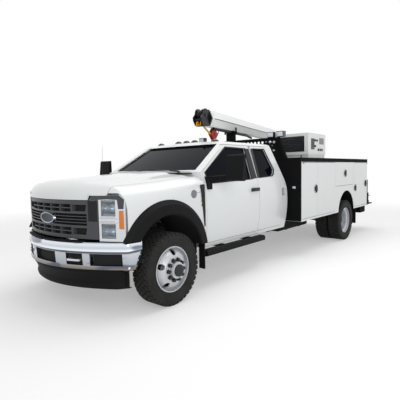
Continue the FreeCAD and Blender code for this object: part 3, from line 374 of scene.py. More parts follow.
side = bm.faces.new([bm.verts.new((x, NOSE_HALF, z)) for x, z in outline])
bmesh.ops.triangulate(bm, faces=[side])
walled(bm, PANEL_WALL)
twin(bm)
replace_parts(finish(bm, "front_wings", white_paint, sharp=40), "front_fenders")


# Grille: one satin grey moulding, bowed with the nose, of framed cells over and under a barred band.
# The plate is filled round its openings, given its depth, and bent; a dark duct sheet behind it is painted
# shade in the openings.

GRILLE_FACE, GRILLE_DEPTH, GRILLE_HALF = 0.858, 0.055, 0.705
GRILLE_LOW, GRILLE_HIGH = 0.803, 1.196
CELL_PITCH, CELL_HEIGHT, CELL_WALL = 0.160, 0.036, 0.007
CELL_BASES = (0.841, 0.884, 1.079, 1.122)
CELL_MIDDLES = [column * CELL_PITCH for column in range(-2, 3)]
BAND_LOW, BAND_HIGH, BAND_BARS, BAND_WALL = 0.936, 1.063, 4, 0.004
RIM_OUT, RIM_IN, RIM_PROUD = 0.0775, 0.0725, 0.004
STRIPS, STRIPS_FROM, STRIP = 27, -1.04, 0.08


def ramped(tree, share, stops):
    """Colours blended by a share, from stops of (share, colour)."""
    ramp = add(tree, "ShaderNodeValToRGB", {}, {"Fac": share})
    while len(ramp.color_ramp.elements) < len(stops):
        ramp.color_ramp.elements.new(0.5)
    for element, (spot, colour) in zip(ramp.color_ramp.elements, stops):
        element.position = spot
        element.color = linear(colour)
    return ramp.outputs["Color"]


def shades(made, grain_mm, dark, light):
    """Two shades of a colour in patches of a real size, as dust, wear and casting leave them."""
    tree = made.node_tree
    colour = ramped(tree, grained(tree, grain_mm, 3.0), ((0.35, dark), (0.65, light)))
    tree.links.new(colour, tree.nodes["Principled BSDF"].inputs["Base Color"])


def block(bm, low, high, round_off=0.0, segments=1):
    """A box between two corners with its edges rounded off; its corners, good while it isn't rounded."""
    low, high = Vector(low), Vector(high)
    size = Matrix.Diagonal((high - low).to_4d())
    size[3][3] = 1.0
    corners = bmesh.ops.create_cube(bm, size=1.0, matrix=Matrix.Translation((low + high) / 2) @ size)["verts"]
    if round_off:
        edges = list({edge for vert in corners for edge in vert.link_edges})
        bmesh.ops.bevel(bm, geom=edges, offset=round_off, offset_type="OFFSET", affect="EDGES",
                        segments=segments, profile=0.5, material=-1)
    return corners


def pushed(bm, faces, step):
    """Extrude faces by a step, and give back what that made."""
    moved = bmesh.ops.extrude_face_region(bm, geom=faces)["geom"]
    bmesh.ops.translate(bm, verts=only(moved, bmesh.types.BMVert), vec=step)
    return moved


def filled(bm, loops, step):
    """A flat sheet of some depth from loops of points, the first outside and the others its holes."""
    edges = []
    for loop in loops:
        verts = [bm.verts.new(point) for point in loop]
        edges += [bm.edges.new(pair) for pair in zip(verts, verts[1:] + verts[:1])]
    faces = bmesh.ops.triangle_fill(bm, use_beauty=True, use_dissolve=False, edges=edges)["geom"]
    pushed(bm, only(faces, bmesh.types.BMFace), step)


def plate(bm, loops, back, front):
    """A flat plate seen from the front, from loops of (y, z) points."""
    filled(bm, [[(back, y, z) for y, z in loop] for loop in loops], (front - back, 0, 0))


def rectangle(y0, y1, z0, z1):
    """A four-cornered (y, z) outline."""
    return [(y0, z0), (y1, z0), (y1, z1), (y0, z1)]


def bend(bm, middle_x, sweep=NOSE_SWEEP):
    """Carry a piece drawn flat forward to its place, and its ends back along the nose's bow."""
    for vert in bm.verts:
        vert.co.x += middle_x - fall(vert.co.y, sweep)


def nose_piece(bm, middle_x, name, made, sweep=NOSE_SWEEP):
    """Cut a piece drawn flat into strips, bend it with the nose and finish it."""
    for strip in range(STRIPS):
        bmesh.ops.bisect_plane(bm, geom=everything(bm), plane_co=(0, STRIPS_FROM + STRIP * strip, 0),
                               plane_no=(0, 1, 0))
    bend(bm, middle_x, sweep)
    return finish(bm, name, made)


# Satin moulding: a soft broad sheen on fine grain. Gloss black: clear reflections on a deep ground.
grille_grey = material("satin grey moulding", "#434448", 0.38, grain=(3.0, 0.02), Specular_IOR_Level=0.4)
gloss_black = material("gloss black moulding", "#0D0E10", 0.18, Specular_IOR_Level=0.3)
shades(gloss_black, 120.0, "#0B0C0E", "#14161B")
# The duct is a matt, rough black sheet, painted shade that makes the openings read as dark depth; the same
# black is painted shade behind the lamps and hand holes, and colours the bumper's pocket faces.
matt_black_and_painted_shade = material("matt black, painted shade behind the openings", "#0A0A0B", 0.9, grain=(4.0, 0.2))
bm = bmesh.new()
loops = [rectangle(-GRILLE_HALF, GRILLE_HALF, GRILLE_LOW, GRILLE_HIGH)]
for base in CELL_BASES:
    for y in CELL_MIDDLES:
        loops.append(rectangle(y - CELL_PITCH / 2 + CELL_WALL, y + CELL_PITCH / 2 - CELL_WALL, base,
                               base + CELL_HEIGHT))
for low in (CELL_BASES[0], CELL_BASES[2]):
    for side in (1, -1):
        loops.append([(side * 0.412, low + 0.006), (side * 0.412, low + 0.073), (side * 0.585, low + 0.073),
                      (side * 0.571, low + 0.006)])
pitch = (BAND_HIGH - BAND_LOW) / BAND_BARS
for number in range(BAND_BARS):
    z = BAND_LOW + pitch * number
    for inner, outer in ((0.10, 0.585), (-0.585, -0.10)):
        loops.append(rectangle(inner, outer, z + BAND_WALL, z + pitch - BAND_WALL))
plate(bm, loops, -GRILLE_DEPTH, 0.0)
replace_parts(nose_piece(bm, GRILLE_FACE, "grille_moulding", grille_grey), "grille")
# A matt black sheet behind the grille: painted shade in its openings.
bm = bmesh.new()
block(bm, (-GRILLE_DEPTH - 0.02, -0.60, GRILLE_LOW + 0.02), (-GRILLE_DEPTH + 0.012, 0.60, GRILLE_HIGH - 0.02),
      0.004)
nose_piece(bm, GRILLE_FACE, "grille_painted_shade_duct", matt_black_and_painted_shade)
bm = bmesh.new()
plate(bm, [rectangle(0.606, 0.701, 0.985, 1.190)], -RIM_PROUD, RIM_PROUD)
twin(bm)
nose_piece(bm, GRILLE_FACE, "grille_end_panels", gloss_black)

# A thin raised rim runs round every cell of the moulding; it catches the light as the real edge does.
bm = bmesh.new()
for base in CELL_BASES:
    for y in CELL_MIDDLES:
        plate(bm, [rectangle(y - RIM_OUT, y + RIM_OUT, base - 0.004, base + CELL_HEIGHT + 0.003),
                   rectangle(y - RIM_IN, y + RIM_IN, base + 0.001, base + CELL_HEIGHT - 0.002)],
              -RIM_PROUD, RIM_PROUD)
nose_piece(bm, GRILLE_FACE, "grille_cell_rims", grille_grey)


# Blank badge: an oval pressed plate clipped on the grille's middle, plain on its enamelled face.
# It is a disc stretched to an oval, with a bright rim round a face that is set in a little.

BADGE_HALF_WIDTH, BADGE_HALF_HEIGHT, BADGE_DEPTH = 0.150, 0.063, 0.022
# Enamel is a dark glossy ground; the chromes mirror what is round them, the rim a little blurred.
badge_blue = material("blue-black enamel plate", "#141C2A", 0.25, grain=(30.0, 0.03), Specular_IOR_Level=0.3)
chrome = material("chrome plate", "#C3C7CC", 0.07, 1.0, (60.0, 0.05))
bright_rim = material("satin chrome rim", "#9EA6B2", 0.2, 1.0, (20.0, 0.05))
bm = bmesh.new()
bmesh.ops.create_cone(bm, cap_ends=True, segments=48, radius1=1.0, radius2=0.94, depth=BADGE_DEPTH,
                      matrix=Matrix.Rotation(math.radians(90), 4, "Y"))
bmesh.ops.scale(bm, vec=(1, BADGE_HALF_WIDTH, BADGE_HALF_HEIGHT), verts=bm.verts)
bmesh.ops.translate(bm, vec=(0.006, 0, (BAND_LOW + BAND_HIGH) / 2), verts=bm.verts)
face = max(bm.faces, key=lambda item: item.calc_center_median().x)
bmesh.ops.inset_region(bm, faces=[face], thickness=0.012, depth=-0.004, use_even_offset=True)
face = max(bm.faces, key=lambda item: (len(item.verts), item.calc_center_median().x))
face.material_index = 1
bend(bm, GRILLE_FACE)
finish(bm, "grille_badge", (bright_rim, badge_blue))


# Headlamps: two stacked lamps a side in a metallised housing under a grey brow, behind clear lenses.
# The housing is a plate filled round its two pockets; bowls, bars and the amber marker sit in it.

LAMP_FACE, LAMP_DEPTH = 0.847, 0.190
LAMP_OUTLINE = [(0.708, 0.786), (0.708, 1.199), (0.604, 1.199), (0.632, 1.247), (0.800, 1.251),
                (0.913, 1.253), (0.961, 1.202), (0.961, 0.846), (0.931, 0.786)]
BROW_OUTLINE = [(0.605, 1.2005), (0.635, 1.246), (0.800, 1.250), (0.907, 1.251), (0.957, 1.205),
                (0.948, 1.112), (0.903, 1.112), (0.894, 1.203), (0.800, 1.208), (0.712, 1.204),
                (0.708, 1.2005)]
POCKETS = ((0.815, 0.963), (1.041, 1.200))
POCKET_INNER, POCKET_OUTER = 0.733, 0.873
BOWL_MIDDLES = (0.767, 0.838)
BOWL = ((-0.055, 0.004), (-0.052, 0.018), (-0.036, 0.029), (-0.012, 0.033), (-0.012, 0.036), (-0.055, 0.036))


def turned(bm, profile, centre, axis, steps=24):
    """A profile of (distance along the axis, radius) points, turned round it."""
    centre, axis = Vector(centre), Vector(axis).normalized()
    side = axis.orthogonal().normalized()
    verts = [bm.verts.new(centre + axis * along + side * radius) for along, radius in profile]
    edges = [bm.edges.new(pair) for pair in zip(verts, verts[1:])]
    bmesh.ops.spin(bm, geom=verts + edges, cent=centre, axis=axis, angle=math.tau, steps=steps,
                   use_merge=True)


def lamp_piece(bm, name, made):
    """Add the right lamp's like, then bend and finish a lamp piece."""
    twin(bm)
    return nose_piece(bm, LAMP_FACE, name, made)


# Metallised plastic mirrors softly, the lens is clear with a slight flow, and acrylic is deep and glossy.
lamp_chrome = material("metallised lamp housing", "#D6D9DC", 0.16, 0.85, (40.0, 0.05))
lamp_glass = material("clear polycarbonate lens", "#DCE4EA", 0.03, grain=(8.0, 0.04), IOR=1.45,
                      Transmission_Weight=0.9)
bowl_silver = material("vacuum-metallised reflector", "#AEB6BF", 0.2, 1.0, (18.0, 0.4))
amber = material("amber acrylic lens", "#D9771A", 0.18, grain=(5.0, 0.15), Coat_Weight=0.5)
bm = bmesh.new()
plate(bm, [LAMP_OUTLINE] + [rectangle(POCKET_INNER, POCKET_OUTER, low, high) for low, high in POCKETS],
      -LAMP_DEPTH, 0.0)
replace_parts(lamp_piece(bm, "headlamp_housings", lamp_chrome), "headlamps")
# A matt black block behind the pockets is painted shade inside the lamps.
bm = bmesh.new()
block(bm, (-LAMP_DEPTH, 0.72, 0.80), (-0.060, 0.89, 1.22), 0.004)
lamp_piece(bm, "headlamp_painted_shade_backs", matt_black_and_painted_shade)
bm = bmesh.new()
for low, high in POCKETS:
    for y in BOWL_MIDDLES:
        turned(bm, BOWL, (0, y, (low + high) / 2), (1, 0, 0), 20)
    block(bm, (-0.058, 0.735, low + 0.002), (-0.030, 0.871, low + 0.020), 0.004)
    block(bm, (-0.058, 0.735, high - 0.020), (-0.030, 0.871, high - 0.002), 0.004)
lamp_piece(bm, "headlamp_reflectors", bowl_silver)
bm = bmesh.new()
for low, high in POCKETS:
    block(bm, (-0.008, POCKET_INNER + 0.002, low + 0.002), (-0.001, POCKET_OUTER - 0.002, high - 0.002),
          0.002)
lamp_piece(bm, "headlamp_lenses", lamp_glass)
bm = bmesh.new()
for z in (0.968, 1.012):
    block(bm, (-0.010, 0.722, z), (0.010, 0.885, z + 0.024), 0.006, 2)
lamp_piece(bm, "headlamp_bars", chrome)
bm = bmesh.new()
block(bm, (-0.020, 0.905, 0.910), (0.006, 0.952, 1.096), 0.008, 2)
lamp_piece(bm, "side_markers", amber)
bm = bmesh.new()
plate(bm, [BROW_OUTLINE], -0.006, 0.005)
lamp_piece(bm, "lamp_brows", grille_grey)


# Front bumper: a pressed and chromed steel bar with a crease, pockets, step pads and two tow hooks.
# Its face is a grid of the pressing's heights and depths; the pockets are pushed in from it.

BUMPER_FACE, BUMPER_SWEEP, BUMPER_HALF = 0.940, 0.388, 0.975
BUMPER_WALL, BUMPER_RETURN = 0.003, -0.190
CORNER_FROM, CORNER_CURVE = 0.945, 14
BUMPER_ROWS = ((0.490, -0.026), (0.500, -0.012), (0.508, -0.010), (0.524, -0.022), (0.536, -0.024),
               (0.660, -0.016), (0.680, -0.004), (0.690, 0.0), (0.700, -0.001), (0.750, -0.003),
               (0.766, -0.010), (0.775, -0.020), (0.778, -0.034), (0.778, -0.090), (0.776, -0.170))
BUMPER_COLUMNS = (0.0, 0.07, 0.14, 0.205, 0.213, 0.28, 0.350, 0.358, 0.42, 0.48, 0.550, 0.558, 0.617, 0.625,
                  0.70, 0.78, 0.85, 0.890, 0.920, 0.950, 0.968, BUMPER_HALF)
POCKET_ROWS, POCKET_DEPTH = (0.536, 0.660), 0.050
POCKET_SPANS = ((-0.205, 0.205), (0.358, 0.550), (0.625, 0.920))
TOW_FRONT, TOW_BACK, TOW_HEIGHT, TOW_SET_BACK = 0.004, -0.04, 0.590, 0.012
TOW_BARS = ((TOW_BACK, 0.400, 0.400, 0.014), (TOW_FRONT, 0.392, 0.520, 0.013),
            (TOW_BACK, 0.512, 0.512, 0.014))
# Painted reflections down the bumper's height: bands of road, yard and sky, with a white painted highlight
# line.
PAINTED_REFLECTION_BANDS = ((0.0, "#77706A"), (0.13, "#8F8A86"), (0.16, "#A9AEB4"), (0.58, "#C7CCD2"), (0.62, "#59606C"),
             (0.67, "#6C7482"), (0.69, "#FFFFFF"), (0.72, "#F3F5F8"), (0.80, "#C3CBD8"), (0.93, "#E6EAF0"),
             (1.0, "#9AA3B2"))


def painted_reflections(made, low, high, stops, patch_mm, painted_patch_colour):
    """Painted reflections: bands by height and long soft patches in the colour, as a yard, the road and the
    sky show in bowed chrome.
    """
    tree = made.node_tree
    place = add(tree, "ShaderNodeTexCoord").outputs["Object"]
    height = add(tree, "ShaderNodeSeparateXYZ", {}, {0: place}).outputs["Z"]
    share = add(tree, "ShaderNodeMapRange", {"From Min": low, "From Max": high}, {"Value": height})
    painted_patch = add(tree, "ShaderNodeMapRange", {"From Min": 0.54, "From Max": 0.62, "To Max": 0.75},
                {"Value": grained(tree, patch_mm, 1.0, (1, 1, 5))})
    painted_bands = ramped(tree, share.outputs[0], stops)
    mixed = add(tree, "ShaderNodeMix", {"data_type": "RGBA"}, {0: painted_patch.outputs[0], 6: painted_bands})
    mixed.inputs[7].default_value = linear(painted_patch_colour)
    tree.links.new(mixed.outputs[2], tree.nodes["Principled BSDF"].inputs["Base Color"])


def bar(bm, start, end, radius, end_radius=None, steps=16):
    """A round bar between two points, tapered where a second radius is given."""
    start, end = Vector(start), Vector(end)
    along = end - start
    turn = along.to_track_quat("Z", "Y").to_matrix().to_4x4()
    bmesh.ops.create_cone(bm, cap_ends=True, segments=steps, radius1=radius, depth=along.length,
                          radius2=radius if end_radius is None else end_radius,
                          matrix=Matrix.Translation((start + end) / 2) @ turn)


# Chrome mirrors sharply, and bands of road, yard and sky are painted reflections in its colour; the moulding
# is a matt grained black.
bumper_chrome_painted_reflections = material("chromed bumper steel with painted reflections", "#C3C7CC", 0.10, 1.0, (60.0, 0.05))
painted_reflections(bumper_chrome_painted_reflections, BUMPER_ROWS[0][0], BUMPER_ROWS[-2][0], PAINTED_REFLECTION_BANDS, 420.0, "#4A556B")
moulding = material("grained polypropylene moulding", "#131314", 0.62, grain=(3.0, 0.08),
                    Specular_IOR_Level=0.12)
bm = bmesh.new()
for vert, (z, depth), y in grid_of(bm, BUMPER_ROWS, both_ways(BUMPER_COLUMNS)):
    vert.co = (depth - CORNER_CURVE * max(0.0, abs(y) - CORNER_FROM) ** 2, y, z)
pressed = []
for face in bm.faces:
    middle = face.calc_center_median()
    if POCKET_ROWS[0] < middle.z < POCKET_ROWS[1]:
        if any(low < middle.y < high or low < -middle.y < high for low, high in POCKET_SPANS):
            pressed.append(face)
moved = pushed(bm, pressed, (-POCKET_DEPTH, 0, 0))
bmesh.ops.delete(bm, geom=pressed, context="FACES_ONLY")
for face in only(moved, bmesh.types.BMFace):
    face.material_index = 1
ends = [edge for edge in bm.edges if edge.is_boundary and all(
    abs(abs(vert.co.y) - BUMPER_HALF) < 0.001 and vert.co.x > -0.1 for vert in edge.verts)]
for vert in only(bmesh.ops.extrude_edge_only(bm, edges=ends)["geom"], bmesh.types.BMVert):
    vert.co.x = BUMPER_RETURN
bend(bm, BUMPER_FACE, BUMPER_SWEEP)
walled(bm, BUMPER_WALL)
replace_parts(finish(bm, "bumper_bar", (bumper_chrome_painted_reflections, matt_black_and_painted_shade)), "front_bumper")
bm = bmesh.new()
for low, high in ((-0.56, -0.02), (0.02, 0.56)):
    block(bm, (-0.080, low, 0.772), (-0.006, high, 0.786), 0.004)
nose_piece(bm, BUMPER_FACE, "bumper_step_pads", moulding, BUMPER_SWEEP)
bm = bmesh.new()
for side in (1, -1):
    for start_x, start_y, end_y, radius in TOW_BARS:
        bar(bm, (start_x, side * start_y, TOW_HEIGHT), (TOW_FRONT, side * end_y, TOW_HEIGHT), radius)
bend(bm, BUMPER_FACE - TOW_SET_BACK, BUMPER_SWEEP)
finish(bm, "tow_hooks", lamp_chrome)


# Air dam: a black skirt moulded in one piece, leaning back under the bumper to a rolled lip.
# It is one grid of the moulding's section, bent with the bumper, and given its wall.

DAM_ROWS = ((0.280, -0.130), (0.280, -0.098), (0.292, -0.086), (0.306, -0.084), (0.322, -0.090),
            (0.340, -0.100), (0.430, -0.066), (0.460, -0.042), (0.490, -0.040))
DAM_HALF, DAM_WALL, DAM_STRIPS = 0.882, 0.008, 26
DAM_CORNER_FROM, DAM_CORNER_CURVE = 0.80, 8
bm = bmesh.new()
columns = [DAM_HALF * (2 * strip / DAM_STRIPS - 1) for strip in range(DAM_STRIPS + 1)]
for vert, (z, depth), y in grid_of(bm, DAM_ROWS, columns):
    vert.co = (depth - DAM_CORNER_CURVE * max(0.0, abs(y) - DAM_CORNER_FROM) ** 2, y, z)
bend(bm, BUMPER_FACE, BUMPER_SWEEP)
walled(bm, DAM_WALL)
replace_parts(finish(bm, "dam_skirt", moulding), "air_dam")
bm = bmesh.new()
block(bm, (0.505, 0.560, 0.300), (0.515, 0.930, 0.640), 0.004)
for number in range(5):
    block(bm, (0.500, 0.600 + 0.070 * number, 0.320), (0.506, 0.612 + 0.070 * number, 0.620), 0.002)
twin(bm)
finish(bm, "splash_shields", moulding)


# Black parts that keep the CAD's shapes: steel racks, rails and rear bumper sprayed with bed liner,
# moulded flares, boards and mirrors, painted frame rails, and iron castings of axles, vise and engine.
# Liner is coarse and matt, frame paint smooth and dull, and cast iron pitted, bare on the engine.

bed_liner = material("sprayed bed liner", "#0C0C0E", 0.85, grain=(7.0, 0.5, 4.0), Specular_IOR_Level=0.12)
dress(bed_liner, "bed_liner", "bed_floor", "top_rails", "headache_rack", "rear_bumper")
dress(moulding, "dark_moulding", "fender_flares", "running_boards", *sides("mirror"))
frame_paint = material("black frame paint", "#0F0F0F", 0.6, grain=(20.0, 0.2), Specular_IOR_Level=0.3)
dress(frame_paint, "frame_black", "frame_rails")
cast_iron = material("painted cast iron", "#171717", 0.7, grain=(5.0, 0.3, 5.0), Specular_IOR_Level=0.3)
dress(cast_iron, "axle_iron", "front_axle", "rear_axle", *sides("knuckle"))
dress(cast_iron, "vise_iron", "bench_vise")
bare_iron = material("bare cast iron", "#3A3937", 0.7, 0.4)
shades(bare_iron, 90.0, "#2A2928", "#474541")
dress(bare_iron, "engine_iron", "engine_block")


# Wheels: pressed steel discs with hand holes, welded in their rims, in the shapes the CAD has.
# The silver paint is a little metallic under a thin dull coat.

wheel_silver = material("argent wheel paint", "#C9CCD0", 0.35, 0.25, (8.0, 0.03), Coat_Weight=0.3,
                        Coat_Roughness=0.2)
dress(wheel_silver, "wheel_silver", *sides("wheel_front", "wheels_rear"))


# Glass, seats and lamp bodies, in the shapes the CAD has: toughened panes, cloth and moulded acrylic.
# The glass is dark and hardly ripples, the cloth is matt with a light sheen, the acrylic is smoked.

window_glass = material("tinted toughened glass", "#0A0F1A", 0.02, grain=(400.0, 0.2), IOR=1.12,
                        Transmission_Weight=0.3)
dress(window_glass, "dark_glass", "cab_glass", *sides("glass_front", "glass_rear"))
cab_cloth = material("woven seat cloth", "#26272B", 0.9, grain=(5.0, 0.3), Sheen_Weight=0.2)
dress(cab_cloth, "cab_cloth", "cab_interior")
smoked = material("smoked acrylic lens", "#2A2320", 0.15, grain=(5.0, 0.1), Coat_Weight=0.5)
dress(smoked, "lamp_plastic", "lamps")


# Crane paint: welded steel boom, mast and pedestal in thick machinery enamel, duller than the cab's coat.
# White, black and red are one kind of enamel; the lift rod is ground, with fine marks, and chromed.

crane_white = material("white machinery enamel", "#E4E6E5", 0.42, grain=(9.0, 0.05), Coat_Weight=0.2,
                       Coat_Roughness=0.2)
dress(crane_white, "white_paint", "main_boom", "crane_mast", "boom_extension_1", "welder")
crane_black = material("black machinery enamel", "#0E0E0F", 0.42, grain=(6.0, 0.05), Specular_IOR_Level=0.25)
dress(crane_black, "black_paint", "boom_extension_2", "crane_pedestal", "lift_barrel")
red_enamel = material("red machinery enamel", "#8E0F12", 0.45, grain=(8.0, 0.05), Specular_IOR_Level=0.3)
dress(red_enamel, "red_paint", "hook_block")
ground_chrome = material("hard chromed rod", "#C8CACC", 0.12, 1.0, (1.2, 0.002, 2.0, (1, 1, 12)))
dress(ground_chrome, "rod_chrome", "lift_rod")


# Tyres: moulded black rubber, mounted on the wheels, with four grooves, shoulder lugs and sidewall ribs.
# The carcass is turned; one pitch of tread blocks is drawn over the axis and repeated round it.

TREAD_PITCHES = 40
CARCASS_HALF = ((-0.095, 0.252), (-0.112, 0.270), (-0.1125, 0.285), (-0.1095, 0.288), (-0.1125, 0.291),
                (-0.113, 0.330), (-0.1095, 0.334), (-0.1125, 0.338), (-0.110, 0.365), (-0.103, 0.382),
                (-0.096, 0.392))
TREAD_BLOCKS = ((-0.100, -0.062, 0.0), (-0.054, -0.022, 0.5), (-0.016, 0.016, 0.0), (0.022, 0.054, 0.5),
                (0.062, 0.100, 0.0))
BLOCK_HALF, BLOCK_FOOT, FLOOR_GAP = 0.0245, 0.388, 0.0018
LUG_HALF, LUG_SPANS, LUG_FOOT, LUG_TOP = 0.014, ((0.098, 0.1125), (-0.1125, -0.098)), 0.366, 0.392
REAR_AXLE = -4.877
tyre_rubber = material("carbon-black tyre rubber", "#191919", 0.8, grain=(4.0, 0.1), Specular_IOR_Level=0.3)
shades(tyre_rubber, 160.0, "#1E1E1D", "#2A2928")


def whole(half):
    """A turned profile from its first half."""
    return [*half, *((-along, radius) for along, radius in reversed(half))]


def tyre(bm, x, y):
    """A tyre about a hub: a turned carcass with sidewall rings, and tread blocks with gaps between them."""
    turned(bm, whole(CARCASS_HALF) + [CARCASS_HALF[0]], (x, y, tyre_radius), (0, 1, 0), 72)
    blocks = bmesh.new()
    for low, high, skew in TREAD_BLOCKS:
        corners = block(blocks, (-BLOCK_HALF, low, BLOCK_FOOT), (BLOCK_HALF, high, tyre_radius - FLOOR_GAP))
        bmesh.ops.rotate(blocks, verts=corners, cent=(0, 0, 0),
                         matrix=Matrix.Rotation(skew * math.tau / TREAD_PITCHES, 3, "Y"))
    for low, high in LUG_SPANS:
        block(blocks, (-LUG_HALF, low, LUG_FOOT), (LUG_HALF, high, LUG_TOP))
    bmesh.ops.spin(blocks, geom=everything(blocks), cent=(0, 0, 0), axis=(0, 1, 0), use_duplicate=True,
                   angle=math.tau * (1 - 1 / TREAD_PITCHES), steps=TREAD_PITCHES - 1)
    bmesh.ops.translate(blocks, verts=blocks.verts, vec=(x, y, tyre_radius))
    part = bpy.data.meshes.new("tread")
    blocks.to_mesh(part)
    blocks.free()
    bm.from_mesh(part)
    bpy.data.meshes.remove(part)


for side, name in ((1, "left"), (-1, "right")):
    for node, body, places in (("tyre_front_", "wheel_front_", ((0.0, 0.950),)),
                               ("tyres_rear_", "wheels_rear_", ((REAR_AXLE, 1.070), (REAR_AXLE, 0.810)))):
        bm = bmesh.new()
        for x, y in places:
            tyre(bm, x, side * y)
        rubber = finish(bm, node.replace("_", "") + "_tread_" + name, tyre_rubber, body + name)
        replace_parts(rubber, node + name)


# Cab side trim: gloss black pillar covers, rubber glass seals and dark pull handles on the doors.
# Covers and seals lie on the doors' leaning upper side, 3 or 4 mm proud, and are clipped or glued on.

CAB_LEAN = ((0.890, 0.988), (1.310, 0.955), (1.795, 0.815))
FRONT_GLASS = [(-0.770, 1.312), (-0.728, 1.452), (-1.272, 1.778), (-1.745, 1.778), (-1.745, 1.338)]
REAR_GLASS = [(-1.950, 1.352), (-1.950, 1.778), (-2.290, 1.778), (-2.425, 1.470), (-2.385, 1.400),
              (-2.330, 1.372)]
FRONT_PILLAR = [(-1.742, 1.338), (-1.742, 1.778), (-1.845, 1.778), (-1.876, 1.345)]
REAR_PILLAR = [(-1.895, 1.349), (-1.897, 1.778), (-1.953, 1.778), (-1.953, 1.352)]
# Rubber is dull and even; the mirror's silver is clear, and its glass hardly waves.
seal_rubber = material("black glazing rubber", "#121213", 0.55, grain=(3.0, 0.05))
mirror_silver = material("silvered mirror glass", "#B9C0C8", 0.03, 1.0, (600.0, 0.05))


def cladding(bm, loops, proud, thickness):
    """A thin cover on the cab's left side: (x, z) outlines, the first outside and the others its holes."""
    filled(bm, [[(x, between(CAB_LEAN, z) + proud, z) for x, z in loop] for loop in loops],
           (0, -thickness, 0))


def grown(loop, amount):
    """An outline moved outwards from its middle by about an amount."""
    middle_x, middle_z = [sum(values) / len(loop) for values in zip(*loop)]
    out = [(x, z, amount / math.hypot(x - middle_x, z - middle_z)) for x, z in loop]
    return [(x + (x - middle_x) * share, z + (z - middle_z) * share) for x, z, share in out]


def mirrored_piece(draw, name, made, body="chassis", sharp=30.0):
    """Draw a left piece, and its right-hand copy riding on the right-hand body."""
    for side in ("left", "right"):
        bm = bmesh.new()
        draw(bm)
        if side == "right":
            bmesh.ops.scale(bm, vec=(1, -1, 1), verts=bm.verts)
        finish(bm, name + "_" + side, made, body.replace("SIDE", side), sharp)


for name, glass, spread in (("front", FRONT_GLASS, 0.016), ("rear", REAR_GLASS, 0.014)):
    mirrored_piece(lambda bm: cladding(bm, [grown(glass, spread), grown(glass, -0.004)], 0.003, 0.012),
                   name + "_glass_seal", seal_rubber, "door_" + name + "_SIDE")
for name, cover in (("front", FRONT_PILLAR), ("rear", REAR_PILLAR)):
    mirrored_piece(lambda bm: cladding(bm, [cover], 0.004, 0.008), name + "_pillar_cover", gloss_black,
                   "door_" + name + "_SIDE")
mirrored_piece(lambda bm: block(bm, (-1.868, 0.990, 1.160), (-1.652, 1.0095, 1.212), 0.009, 3),
               "pull_handle", gloss_black, "door_front_SIDE")
mirrored_piece(lambda bm: block(bm, (-0.884, 1.195, 1.372), (-0.878, 1.412, 1.640), 0.002),
               "mirror_glass", mirror_silver, "door_front_SIDE")


# Wing vents and badges: a black louvred moulding ahead of each front door and a blank round badge.
# Both are clipped on the wing's side; the louvres are five short ribs.

VENT_OUTLINE = [(-0.552, 1.296), (-0.562, 1.306), (-0.618, 1.309), (-0.628, 1.298), (-0.634, 1.160),
                (-0.634, 0.800), (-0.618, 0.792), (-0.598, 0.960)]
VENT_BACK, VENT_DEPTH = 0.980, 0.012
WING_BADGE = ((-0.004, 0.0), (-0.004, 0.050), (0.004, 0.048), (0.005, 0.040), (0.003, 0.038), (0.003, 0.0))
badge_grey = material("brushed grey badge", "#7E8288", 0.35, 0.7, (6.0, 0.05))


def slab(bm, corners, step):
    """A flat face between corners, given its depth."""
    pushed(bm, [bm.faces.new([bm.verts.new(corner) for corner in corners])], step)


def wing_vent(bm):
    """The moulding and its five ribs."""
    slab(bm, [(x, VENT_BACK, z) for x, z in VENT_OUTLINE], (0, VENT_DEPTH, 0))
    for number in range(5):
        z = 1.255 - 0.052 * number
        block(bm, (-0.622, 0.990, z), (-0.566, 0.995, z + 0.020), 0.002)


mirrored_piece(wing_vent, "wing_vent", gloss_black)
mirrored_piece(lambda bm: turned(bm, WING_BADGE, (-0.437, 0.986, 1.200), (0, 1, 0), 28), "wing_badge",
               badge_grey)


# Cowl and wipers: a black plastic grating below the windscreen with two arms and blades on it.
# The grating lies in the gap behind the hood; an inside mirror hangs behind the glass.

COWL_FROM, COWL_WIDTH = -0.78, 0.195
WIPERS = (((-0.625, 0.56, 1.462), (-0.700, -0.06, 1.502)), ((-0.615, -0.12, 1.462), (-0.745, -0.70, 1.500)))
bm = bmesh.new()
for number in range(8):
    low = COWL_FROM + COWL_WIDTH * number
    block(bm, (-0.642, low, 1.436), (-0.592, low + COWL_WIDTH, 1.445), 0.002)
    for rib in range(6):
        block(bm, (-0.638, low + 0.012 + 0.03 * rib, 1.445), (-0.598, low + 0.022 + 0.03 * rib, 1.448))
finish(bm, "cowl_grating", moulding)
bm = bmesh.new()
for pivot, tip in WIPERS:
    pivot, tip = Vector(pivot), Vector(tip)
    turned(bm, ((-0.012, 0.0), (-0.012, 0.018), (0.012, 0.014), (0.014, 0.0)), pivot, (0, 0, 1), 14)
    bar(bm, pivot + Vector((0, 0, 0.010)), tip, 0.008, 0.005, 10)
    bar(bm, tip + Vector((0.025, 0.27, -0.006)), tip + Vector((-0.022, -0.24, 0.0)), 0.007, 0.006, 8)
finish(bm, "wipers", seal_rubber)
bm = bmesh.new()
block(bm, (-1.262, -0.115, 1.688), (-1.235, 0.115, 1.752), 0.010, 2)
bar(bm, (-1.240, 0.0, 1.745), (-1.222, 0.0, 1.772), 0.010, 0.014, 10)
finish(bm, "inside_mirror", badge_grey)


# Antenna: a thin sprung steel whip in a black sleeve, on the right front wing.
# It is screwed into a small rubber foot.

bm = bmesh.new()
turned(bm, ((0.0, 0.016), (0.014, 0.014), (0.032, 0.006), (0.034, 0.003)), (-0.480, -0.880, 1.372), (0, 0, 1),
       14)
bar(bm, (-0.480, -0.880, 1.400), (-0.500, -0.884, 1.860), 0.0025, 0.0015, 6)
finish(bm, "antenna", seal_rubber)


# Running board treads: a rubber strip of raised cross ribs along the top of each board.
# The strip is glued in the board's moulding.

